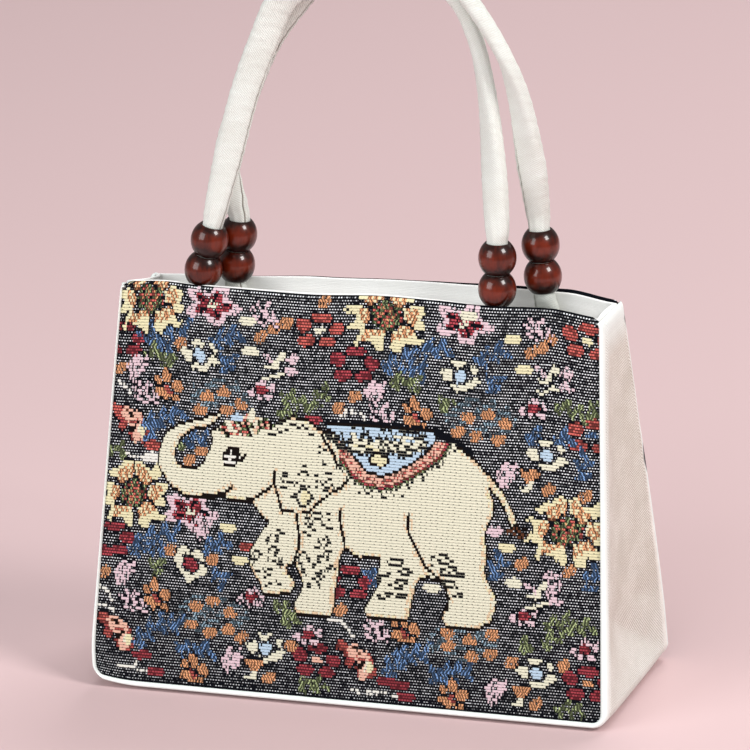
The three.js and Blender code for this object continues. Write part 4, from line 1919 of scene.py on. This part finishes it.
    def edge_map(self, way: Station, y: Array) -> Array:
        """Where the canvas shows its ribs, bares the dark panel and carries painted light.

        The ribs start past the edge, further in where the right front edge isn't pinched. The panel
        shows through the back right roll at the bare seams. Painted light makes the cloth lighter at its
        rolled edges and at the front, which face the lamps, round the mouth, where the strip's top faces
        up, and towards the foot, whose lower facet faces up.

        Args:
            way: The strip's stations.
            y: Places across the strip.

        Returns:
            A colour for each point: ribs in red, bareness in green, painted light in blue.
        """
        depth = FORM.half_depth(way.z)
        past_edge = depth - np.abs(y)
        over = self.on_roll(np.linspace(1, 0, self.roll_steps)) - self.bare_loss * np.maximum(past_edge, 0)
        bared = sum(self.bare_peak * bell(way.z - z, half) for z, half in self.bare_seams) - self.bare_loss
        bare = unit(way.nx) * unit((over - 1 + bared) / self.bare_soft) * (y > 0)
        start = self.rib_reach * (1 - climbed(way.z, self.front_from, self.front_full))
        ribbed = np.clip((past_edge - start) / self.rib_reach, self.rib_least, 1)
        # painted light: lighter cloth at the lit rolled edges and front, round the mouth and on the
        # upward-facing foot
        painted_light = np.clip(1 - past_edge / self.edge_lit_reach, 0, self.rim_lit)
        painted_light = np.maximum(painted_light, self.front_lit * unit(1 - (depth + y) / self.front_lit_reach))
        mouth = unit(self.mouth_lit_start - way.end / self.mouth_lit_reach)
        painted_light = np.maximum(painted_light, self.rim_lit * mouth)
        painted_light = np.maximum(painted_light, self.foot_lit * unit(1 - way.z / self.foot_lit_reach))
        return np.stack([ribbed, bare, painted_light, np.ones_like(y)], axis=-1)

    def make(self, finish: Material) -> None:
        """Sew the strip.

        The outer and inner faces draw together at the ends of the strip. Under the rolled edges the
        inner face laps over the panels.

        Args:
            finish: The canvas.
        """
        way = self.stations()
        depth = FORM.half_depth(way.z)
        y = self.section(depth)
        press = FORM.side_press(y, way.z, way.nx)
        tip = 1 - unit(way.end / self.end_round)
        thin = self.end_thin * (1 - np.sqrt(1 - tip**2))
        rolled = self.on_roll(np.ones(self.roll_steps))
        share = unit(np.arange(self.roll_steps) / (self.tuck_share * self.roll_steps))
        under = self.on_roll(self.tuck_under * (share - 1))
        inner = FORM.gap + under - (1 - rolled) * press + thin
        lap_share = unit(np.linspace(self.lap_start, 1, self.roll_steps))
        lap = self.on_roll(self.face_gap - self.face_lap * lap_share)
        inner_y = np.where(rolled > 0, np.sign(y) * (depth + lap), y)
        skin = Skin("gusset", "cloth")
        outside = skin.add_points(self.place(way, y, self.outer(way, y, press) - thin))
        inside = skin.add_points(self.place(way, inner_y, inner))
        length = 2 * way.along.max()
        cloth = np.stack([y, way.along + 0 * y], axis=-1)
        # edge map: ribs, the bare panel, and painted light
        rib = self.edge_map(way, y)
        bake_across = self.bake_middle + self.bake_span * y / FORM.base_depth
        bake = np.stack([way.along / length + 0.5 + 0 * y, bake_across], axis=-1)
        skin.add_faces(quads(outside), quads(bake), cloth=quads(cloth), rib=quads(rib))
        skin.add_faces(quads(inside)[:, ::-1], quads(bake + (0, self.bake_inside))[:, ::-1],
                       cloth=quads(cloth)[:, ::-1], rib=quads(rib)[:, ::-1])
        for line in GRID_EDGES:
            on_bake, on_cloth, on_rib = (quads(np.stack([grid[line]] * 2)) for grid in (bake, cloth, rib))
            rim = quads(np.stack([inside[line], outside[line]]))
            skin.add_faces(rim, on_bake, cloth=on_cloth, rib=on_rib)
        piece = skin.make(finish, "canvas")
        cut = ((FORM.base_depth + self.roll_allowance) * MM, length * MM)

    def place(self, way: Station, y: Array, out: Array) -> Array:
        """Points at depths y and distances out from the outline, settled."""
        return FORM.settle(np.stack([way.x + out * way.nx, y, way.z + out * way.nz], axis=-1))


@dataclass(frozen=True)
class Lining:
    """Cream pouch inside the bag, with a facing round the mouth."""

    wall: float = 1.2
    ease: float = 0.2
    top_drop: float = -0.3
    end_drop: float = 1.3
    end_reach: float = 12.0
    end_from: float = 20.0
    end_full: float = 90.0
    facing: float = 17.0
    facing_thick: float = 0.3
    facing_step: float = 0.8
    stitch_at: float = 4.2
    stitch_depth: float = 0.35
    stitch_width: float = 0.8
    slack: float = 4.5
    slack_rise: float = 11.0
    slack_at: float = 18.0
    slack_fall: float = 60.0
    slack_power: int = 12
    sewn_at: tuple[float, float] = (-81.4, 67.4)
    sewn_width: float = 15.0
    side_steps: int = 70
    foot_steps: int = 8
    fold_steps: int = 8
    front_steps: int = 60
    depth_steps: int = 24
    floor_steps: int = 6
    floor_middle: float = 0.12
    side_allowance: float = 100.0
    base_allowance: float = 110.0
    sides_depth: float = 130.0

    def profile(self) -> tuple[Array, Array]:
        """Rows of the pouch from the edge of its underside over the mouth to the edge of its floor.

        Returns:
            For each row, how far up the outline it lies, and how far inside it.
        """
        foot = np.linspace(0, FORM.foot_radius, self.foot_steps)[1:]
        side = np.linspace(FORM.foot_radius, FORM.height - self.top_drop - self.wall / 2, self.side_steps)[1:]
        climb = np.concatenate([[0], foot, side])
        below = FORM.height - self.top_drop - climb
        thick = self.wall + self.facing_thick * unit((self.facing - below) / self.facing_step + 0.5)
        thick = thick - self.stitch_depth * bell(below - self.stitch_at, self.stitch_width)
        over = np.radians(np.linspace(0, 180, self.fold_steps + 1)[1:-1])
        arc_up = climb[-1] + self.wall / 2 * np.sin(over)
        arc_in = self.ease + thick[-1] / 2 * (1 - np.cos(over))
        up = np.concatenate([climb, arc_up, climb[::-1]])
        inset = np.concatenate([np.full(len(climb), self.ease), arc_in, self.ease + thick[::-1]])
        return up, inset

    def rings(self) -> Array:
        """Rings of the regular pouch, from its underside over the mouth to its floor.

        A ring runs along the front, through the depth, along the back and through the depth again,
        inside the panels and the gusset by the row's inset and with the same press at the sides.
        Below the mouth the front and back hang slack, apart from where the handles are sewn on, and
        the right end of the mouth drops a little.

        Returns:
            Points, by ring.
        """
        up, inset = (line[:, None] for line in self.profile())
        z = np.maximum(FORM.base + up, FORM.base + inset)
        limit = FORM.shoulder_radius * np.sin(np.radians(FORM.shoulder_turn))
        draw = FORM.corner_inset(np.minimum(FORM.base + up, FORM.top - FORM.shoulder_radius + limit))
        half = FORM.half_width(z) - draw - inset
        depth = FORM.half_depth(z) - FORM.panel_wall - FORM.gap - inset
        share = np.linspace(-1, 1, self.front_steps + 1)[None, :-1]
        below = FORM.height - self.top_drop - up
        slack = self.slack * (1 - bell(below, self.slack_rise)) * bell(below - self.slack_at, self.slack_fall)
        slack = slack * (1 - share**self.slack_power)
        for tab in self.sewn_at:
            slack = slack * (1 - np.exp(-(((share * half - tab) / self.sewn_width) ** 4)))
        front = np.stack([share * half, slack - depth - FORM.bulge(share, z), z + 0 * share], axis=-1)
        y = depth * np.linspace(-1, 1, self.depth_steps + 1)[None, :-1]
        right = np.stack([half - FORM.side_press(y, z, np.ones_like(y)), y, z + 0 * y], axis=-1)
        left = np.stack([FORM.side_press(y, z, -np.ones_like(y)) - half, -y, z + 0 * y], axis=-1)
        rings = np.concatenate([front, right, front * (-1, -1, 1), left], axis=1)
        near_top = unit(1 - (FORM.height - up) / self.end_reach)
        rings[..., 2] -= self.end_drop * near_top * climbed(rings[..., 0], self.end_from, self.end_full)
        steps = np.linspace(self.floor_middle, 1, self.floor_steps)[:-1, None, None]
        under = rings[:1] * (1, 1, 0) * steps + rings[:1] * (0, 0, 1)
        floor = rings[-1:] * (1, 1, 0) * steps[::-1] + rings[-1:] * (0, 0, 1)
        return np.concatenate([under, rings, floor])

    def make(self, finish: Material) -> None:
        """Sew the pouch.

        Args:
            finish: The lining cotton.
        """
        rings = self.rings()
        skin = Skin("lining", "cloth")
        numbers = ringed(skin.add_points(FORM.settle(rings)))
        closed = ringed(rings)
        around = length_so_far(closed[len(closed) // 2])
        along = length_so_far(closed[:, 0])
        cloth = np.stack(np.meshgrid(around, along), axis=-1)
        skin.add_faces(quads(numbers), quads(cloth / (around[-1], along[-1])), cloth=quads(cloth))
        for row, turn in ((0, -1), (-1, 1)):
            skin.cap(numbers[row], FORM.settle(rings[row].mean(axis=0)), turn)
        piece = skin.make(finish, "lining")


class Leg(NamedTuple):
    """Where a leg's lower bead lies, its sideways run for each unit of rise, and its step above the beads."""

    x: float
    y: float
    z: float
    lean: float
    step: float = 0.0

    def along(self, distance: float) -> Array:
        """Point on the leg at a distance above its lower bead."""
        return np.array([self.x, self.y, self.z]) + distance * self.direction

    @property
    def direction(self) -> Array:
        """From the lower bead to the upper one."""
        way = np.array([self.lean, 0.0, 1.0])
        return way / np.linalg.norm(way)


class ArchPoint(NamedTuple):
    """Point of a handle's arch, and how far its wide side is turned from the arch's plane."""

    x: float
    y: float
    z: float
    turn: float


class Section(NamedTuple):
    """Half width, half thickness and turn of a handle's tube."""

    wide: float
    thick: float
    turn: float = 0.0


class Route(NamedTuple):
    """Line of a handle: its middle, unit directions, half sizes and length so far."""

    middle: Array
    tangent: Array
    wide_way: Array
    thin_way: Array
    wide: Array
    thick: Array
    along: Array


@dataclass(frozen=True)
class Handle:
    """Stuffed canvas tube from one sewn end through the beads, over the arch and back."""

    name: str
    side: int
    left: Leg
    right: Leg
    arch: tuple[ArchPoint, ...]
    bead_pitch: float = 15.2
    tab_end_height: float = 164.0
    tab_top_height: float = 177.0
    tab_inset: float = 2.2
    foot_drop: float = 8.6
    neck_rise: float = 8.4
    above_rise: float = 14.0
    tab_end: Section = Section(6.4, 1.8)
    tab_top: Section = Section(6.0, 2.4)
    neck: Section = Section(4.6, 4.6)
    above: Section = Section(5.3, 4.5)
    tube: Section = Section(6.1, 3.8)
    flare: float = 0.8
    samples: int = 40
    stations: int = 420
    around: int = 56
    seam_turn: float = 160.0
    girth: float = 32.0
    fullness: float = 2.7
    seam_depth: float = 0.45
    seam_width: float = 0.45
    ridge: float = 0.22
    ridge_at: float = 1.2
    ridge_width: float = 0.6
    wrinkle: float = 0.1
    wrinkle_rate: float = 1.15
    wrinkle_sway: float = 1.7
    wrinkle_phase: float = 0.3
    wrinkle_beat: float = 0.31
    pleat: float = 0.12
    pleats: int = 9
    pleat_turn: float = 0.05
    neck_at: float = 62.0
    neck_width: float = 9.0
    end_place: float = 4.0

    def leg_rows(self, leg: Leg) -> list[tuple[Array, Section]]:
        """Points of one leg from its sewn end to just above its upper bead.

        Args:
            leg: The leg.

        Returns:
            The points with their sections.
        """
        rows = []
        for z, section in ((self.tab_end_height, self.tab_end), (self.tab_top_height, self.tab_top)):
            y = self.side * (FORM.half_depth(z) - FORM.panel_wall - self.tab_inset - section.thick)
            x = leg.x + leg.lean * (z - leg.z)
            rows.append((FORM.settle(np.array([x, y, z])), section))
        climbs = (-self.foot_drop, 0.0, self.bead_pitch, self.bead_pitch + self.neck_rise)
        rows += [(leg.along(climb), self.neck) for climb in climbs]
        above = leg.along(self.bead_pitch + self.above_rise)
        rows.append((above + (leg.step, 0, 0), self.above))
        return rows

    def route(self) -> Route:
        """Smooth line through the legs and the arch.

        It is a centripetal Catmull-Rom curve: a cubic between each two points, whose slopes weigh the
        neighbours by the square roots of their distances. It is then sampled evenly along its length.
        The tube is a little wider where its wide side faces the front.

        Returns:
            The line with its directions and sizes.
        """
        rows = self.leg_rows(self.left)
        for x, y, z, turn in self.arch:
            wide = self.tube.wide + self.flare * np.cos(np.radians(turn)) ** 2
            rows.append((np.array([x, y, z]), self.tube._replace(wide=wide, turn=turn)))
        rows += self.leg_rows(self.right)[::-1]
        knots = np.array([point for point, _ in rows])
        sizes = np.array([section for _, section in rows], dtype=float)
        ends = (2 * knots[:1] - knots[1:2], knots, 2 * knots[-1:] - knots[-2:-1])
        padded = np.concatenate(ends)
        gaps = np.sqrt(np.linalg.norm(np.diff(padded, axis=0), axis=1))[:, None]
        slopes = np.diff(padded, axis=0) / gaps
        middle = (padded[2:] - padded[:-2]) / (gaps[:-1] + gaps[1:])
        tangents = slopes[:-1] - middle + slopes[1:]
        start, stop, span = knots[:-1, None], knots[1:, None], gaps[1:-1, None]
        t = np.linspace(0, 1, self.samples, endpoint=False)[None, :, None]
        ease = t**2 * (3 - 2 * t)
        line = (start + (stop - start) * ease + span * tangents[:-1, None] * (t - 2 * t**2 + t**3)
                + span * tangents[1:, None] * (t**3 - t**2))
        line = np.concatenate([line.reshape(-1, 3), knots[-1:]])
        place = np.linspace(0, len(knots) - 1, len(line))
        length = length_so_far(line)
        along = np.linspace(0, length[-1], self.stations + 1)
        middle = np.stack([np.interp(along, length, line[:, k]) for k in range(3)], axis=1)
        at = np.interp(along, length, place)
        wide, thick, turn = (np.interp(at, np.arange(len(knots)), sizes[:, k])[:, None] for k in range(3))
        tangent = np.gradient(middle, axis=0)
        tangent /= np.linalg.norm(tangent, axis=1, keepdims=True)
        outward = np.cross(tangent, [0.0, 1.0, 0.0])
        outward /= np.linalg.norm(outward, axis=1, keepdims=True)
        across = np.cross(tangent, outward)
        turn = np.radians(turn)
        wide_way = outward * np.cos(turn) + across * np.sin(turn)
        return Route(middle, tangent, wide_way, np.cross(tangent, wide_way), wide, thick, along[:, None])

    def swell(self, route: Route, share: Array, angle: Array) -> Array:
        """How much fuller than an ellipse the tube is.

        The section is an oval of a power above two. A seam lies in a groove along the inner edge with
        a low ridge at either side, faint wrinkles run round the tube, and pleats gather at the beads.

        Args:
            route: The tube's line.
            share: Places round the tube, from 0 to 1.
            angle: The same as angles from its wide side.

        Returns:
            Shares of the ellipse's radius, by place along and round the tube.
        """
        power = self.fullness
        full = (np.abs(np.cos(angle)) ** power + np.abs(np.sin(angle)) ** power) ** (-1 / power)
        from_seam = np.minimum(share, 1 - share) * self.girth
        ridge = self.ridge * bell(from_seam - self.ridge_at, self.ridge_width)
        groove = self.seam_depth * bell(from_seam, self.seam_width) - ridge
        along, length = route.along, route.along[-1, 0]
        neck = bell(along - self.neck_at, self.neck_width)
        neck = neck + bell(length - along - self.neck_at, self.neck_width)
        sway = self.wrinkle_sway * np.sin(angle * 2 + self.wrinkle_phase)
        wave = np.sin(self.wrinkle_rate * along + sway) * np.sin(self.wrinkle_beat * along + angle)
        gather = np.cos(self.pleats * angle + self.pleat_turn * along) * neck
        return full * (1 - (groove + self.wrinkle * wave + self.pleat * gather) / route.thick)

    def make(self, finish: Material) -> None:
        """Sew and stuff the tube.

        Args:
            finish: The handle canvas.
        """
        route = self.route()
        share = np.linspace(0, 1, self.around + 1)[None, :]
        angle = 2 * np.pi * share + np.radians(self.seam_turn)
        swell = self.swell(route, share, angle)
        points = (route.middle[:, None]
                  + (route.wide * np.cos(angle) * swell)[..., None] * route.wide_way[:, None]
                  + (route.thick * np.sin(angle) * swell)[..., None] * route.thin_way[:, None])
        skin = Skin(f"{self.name}_handle", "cloth")
        numbers = ringed(skin.add_points(points[:, :-1]))
        cloth = np.stack(np.broadcast_arrays(share * self.girth, route.along), axis=-1)
        skin.add_faces(quads(numbers), quads(cloth / (self.girth, route.along[-1, 0])), cloth=quads(cloth))
        for row, turn in ((0, -1), (-1, 1)):
            skin.cap(numbers[row], route.middle[row], turn, self.end_place)
        piece = skin.make(finish, "handle_canvas")

    def make_beads(self, bead: "Bead", finish: Material) -> None:
        """Thread two beads on each leg.

        Args:
            bead: The bead's shape.
            finish: The lacquered wood.
        """
        for leg_name, leg in (("left", self.left), ("right", self.right)):
            for level, climb in (("lower", 0.0), ("upper", self.bead_pitch)):
                node = f"{self.name}_{leg_name}_{level}_bead"
                bead.make(node, leg.along(climb), leg.direction, finish)


@dataclass(frozen=True)
class Bead:
    """Turned round bead with a straight hole and softened rims."""

    radius: float = 9.0
    hole: float = 5.15
    rim: float = 7.5
    soften: float = 0.55
    soften_steps: int = 5
    profile_steps: int = 34
    around: int = 64

    def profile(self) -> Array:
        """Closed outline of the bead's wall, as radius and height.

        The outside is an ellipse cut off at the rims. Quarter circles lead from it into the hole.

        Returns:
            Points from the lower rim round the outside to the upper rim and down the hole.
        """
        inner = self.hole + self.soften
        stop = np.arccos(inner / self.radius)
        tall = self.rim / np.sin(stop)
        turn = np.linspace(-stop, stop, self.profile_steps)
        outside = np.stack([self.radius * np.cos(turn), tall * np.sin(turn)], axis=1)
        bend = np.linspace(0, np.pi / 2, self.soften_steps + 1)[1:]
        corner = np.stack([inner - self.soften * np.sin(bend), self.rim - self.soften * (1 - np.cos(bend))],
                          axis=1)
        return np.concatenate([outside, corner, corner[::-1] * (1, -1)])

    def make(self, node: str, middle: Array, up: Array, finish: Material) -> None:
        """Turn one bead about its leg's direction.

        Args:
            node: The node that it stands for.
            middle: Its middle.
            up: Its axis.
            finish: The lacquered wood.
        """
        first = np.cross([0.0, 1.0, 0.0], up)
        first /= np.linalg.norm(first)
        second = np.cross(up, first)
        share = np.linspace(0, 1, self.around + 1)
        angle = 2 * np.pi * share[:-1, None]
        ring = np.cos(angle) * first + np.sin(angle) * second
        profile = self.profile()
        points = middle + profile[:, None, :1] * ring[None] + profile[:, None, 1:] * up
        skin = Skin(node, "wood")
        numbers = ringed(skin.add_points(points))
        numbers = np.concatenate([numbers, numbers[:1]])
        along = length_so_far(np.concatenate([profile, profile[:1]]))
        bake = np.stack(np.broadcast_arrays(share[None, :], along[:, None] / along[-1]), axis=-1)
        height = np.append(profile[:, 1], profile[0, 1])[:, None] / self.rim
        turned = np.stack(np.broadcast_arrays(share[None, :], height), axis=-1)
        skin.add_faces(quads(numbers), quads(bake), turned=quads(turned))
        skin.make(finish, "bead_wood")


FRONT_HANDLE = Handle(
    "front",
    -1,
    Leg(-80.1, -7.6, 197.0, 0.24),
    Leg(65.4, -8.1, 197.4, 0.02),
    (
        ArchPoint(-66.4, -7.0, 252.0, 0), ArchPoint(-56.5, -6.7, 286.0, 0),
        ArchPoint(-47.2, -6.5, 310.0, 10), ArchPoint(-38.1, -6.5, 329.0, 20),
        ArchPoint(-22.0, -5.5, 341.5, 35), ArchPoint(4.0, 0.0, 347.0, 55),
        ArchPoint(28.0, 4.5, 342.5, 70), ArchPoint(43.9, 5.5, 331.0, 78),
        ArchPoint(52.5, 4.2, 314.8, 75), ArchPoint(58.8, 1.0, 290.6, 55),
        ArchPoint(63.5, -4.0, 255.0, 30),
    ),
)
BACK_HANDLE = Handle(
    "back",
    1,
    Leg(-69.4, 8.7, 195.6, 0.1, -2.0),
    Leg(82.7, 8.3, 200.4, -0.06),
    (
        ArchPoint(-72.5, 6.8, 246.0, 60), ArchPoint(-60.7, 6.4, 282.5, 40),
        ArchPoint(-49.2, 6.5, 308.0, 20), ArchPoint(-35.2, 6.5, 326.7, 30),
        ArchPoint(-20.0, 5.5, 343.5, 40), ArchPoint(8.0, 0.0, 359.5, 55),
        ArchPoint(34.0, -5.0, 354.0, 70), ArchPoint(53.0, -6.0, 335.0, 80),
        ArchPoint(69.0, -5.0, 309.6, 70), ArchPoint(74.9, -3.0, 292.5, 45),
        ArchPoint(80.1, 2.0, 254.5, 5),
    ),
    seam_turn=142.0,
)


class SoftBox(NamedTuple):
    """Square studio light: place, side in metres, power, colour, and if glossy things mirror it."""

    name: str
    place: Triple
    side: float
    power: float
    colour: Triple
    shines: bool


@dataclass(frozen=True)
class Studio:
    """Pale floor, soft lights and the camera at the photograph's angle."""

    floor_side: float = 24.0
    floor_drop: float = 0.2 * MM
    yaw: float = 18.527
    pitch: float = 16.807
    roll: float = -1.266
    aim: Triple = (1.733, 0.0, 148.515)
    distance: float = 2834.36
    lens: float = 288.0
    lights: tuple[SoftBox, ...] = (
        SoftBox("key", (-1.5, -2.1, 1.3), 1.6, 35.0, (0.95, 0.99, 1.0), True),
        SoftBox("fill", (1.75, -0.7, 1.75), 0.8, 39.0, (1.0, 0.97, 0.95), True),
        SoftBox("top", (0.0, -0.9, 2.1), 1.2, 11.0, (0.97, 0.99, 1.0), False),
        SoftBox("front", (0.3, -2.9, 1.25), 1.0, 16.0, (0.95, 0.99, 1.0), False),
        SoftBox("backdrop", (0.3, 1.9, 2.2), 1.6, 42.0, (1.0, 1.0, 1.0), False),
    )
    sky: tuple[float, float, float, float] = (0.95, 0.94, 0.95, 1.0)
    sky_strength: float = 0.21

    def lay_floor(self) -> None:
        """Lay a flat floor under the bag."""
        half = self.floor_side / 2
        corners = [(-half, -half), (half, -half), (half, half), (-half, half)]
        mesh = bpy.data.meshes.new("floor")
        mesh.from_pydata([(x, y, -self.floor_drop) for x, y in corners], [], [(0, 1, 2, 3)])
        mesh.materials.append(FloorFinish().make())
        floor = bpy.data.objects.new("floor", mesh)
        bpy.context.scene.collection.objects.link(floor)

    def set_camera(self) -> None:
        """Look at the bag from the front right and above, with a long lens and a slight roll."""
        yaw, pitch, roll = np.radians([self.yaw, self.pitch, self.roll])
        forward = np.array([-np.sin(yaw) * np.cos(pitch), np.cos(yaw) * np.cos(pitch), -np.sin(pitch)])
        right = np.array([np.cos(yaw), np.sin(yaw), 0.0])
        up = np.cross(right, forward)
        x_way = np.cos(roll) * right + np.sin(roll) * up
        y_way = np.cos(roll) * up - np.sin(roll) * right
        turned = np.eye(4)
        turned[:3, :3] = np.stack([x_way, y_way, -forward], axis=1)
        turned[:3, 3] = (np.array(self.aim) - forward * self.distance) * MM
        data = bpy.data.cameras.new("camera")
        data.lens = self.lens
        camera = bpy.data.objects.new("camera", data)
        camera.matrix_world = Matrix(turned.tolist())
        bpy.context.scene.collection.objects.link(camera)
        bpy.context.scene.camera = camera

    def hang_lights(self) -> None:
        """Hang the soft boxes, turned to the bag, under an even sky."""
        middle = Vector(self.aim) * MM
        for box in self.lights:
            data = bpy.data.lights.new(box.name, "AREA")
            data.size = box.side
            data.energy = box.power
            data.color = box.colour
            light = bpy.data.objects.new(box.name, data)
            light.location = box.place
            light.visible_glossy = box.shines
            light.rotation_euler = (middle - light.location).to_track_quat("-Z", "Y").to_euler()
            bpy.context.scene.collection.objects.link(light)
        world = bpy.data.worlds.new("studio")
        world.use_nodes = True
        background = world.node_tree.nodes["Background"]
        background.inputs["Color"].default_value = self.sky
        background.inputs["Strength"].default_value = self.sky_strength
        bpy.context.scene.world = world
        bpy.context.scene.view_settings.view_transform = "Standard"

    def build(self) -> None:
        """Set up the floor, the camera and the lights."""
        self.lay_floor()
        self.set_camera()
        self.hang_lights()


def main() -> None:
    """Build the bag in order and report each piece."""
    logging.basicConfig(level=logging.INFO, format="%(name)s: %(message)s")
    Studio().build()
    threads = TapestryChart(LOOM).weave()
    tapestry = TapestryFinish().make()
    TapestryPanel("front_panel", threads).make(tapestry)
    TapestryPanel("back_panel", threads, turned=True).make(tapestry)
    # the rib map also carries the gusset's painted light
    canvas = TwillFinish("canvas", "fcfaf4", "b3a798", pitch=1.5, contrast=0.9, edge_map="rib")
    Gusset().make(canvas.make())
    lining = TwillFinish("lining", "fbfbf9", "ebe8e4", pitch=0.8, slope=0.0, contrast=0.3, bump=0.06 * MM)
    Lining().make(lining.make())
    sleeve = TwillFinish("handle_canvas", "edf3ee", "cecdc4", pitch=1.1, contrast=0.5, seam_at=Handle.girth)
    sleeve_canvas = sleeve.make()
    wood = LacquerFinish().make()
    for handle in (FRONT_HANDLE, BACK_HANDLE):
        handle.make(sleeve_canvas)
        handle.make_beads(Bead(), wood)
    left = [name for name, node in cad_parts.items() if not node.hide_render]
    LOG.info("nodes still shown: %s", left or "none")


if __name__ == "__main__":
    main()
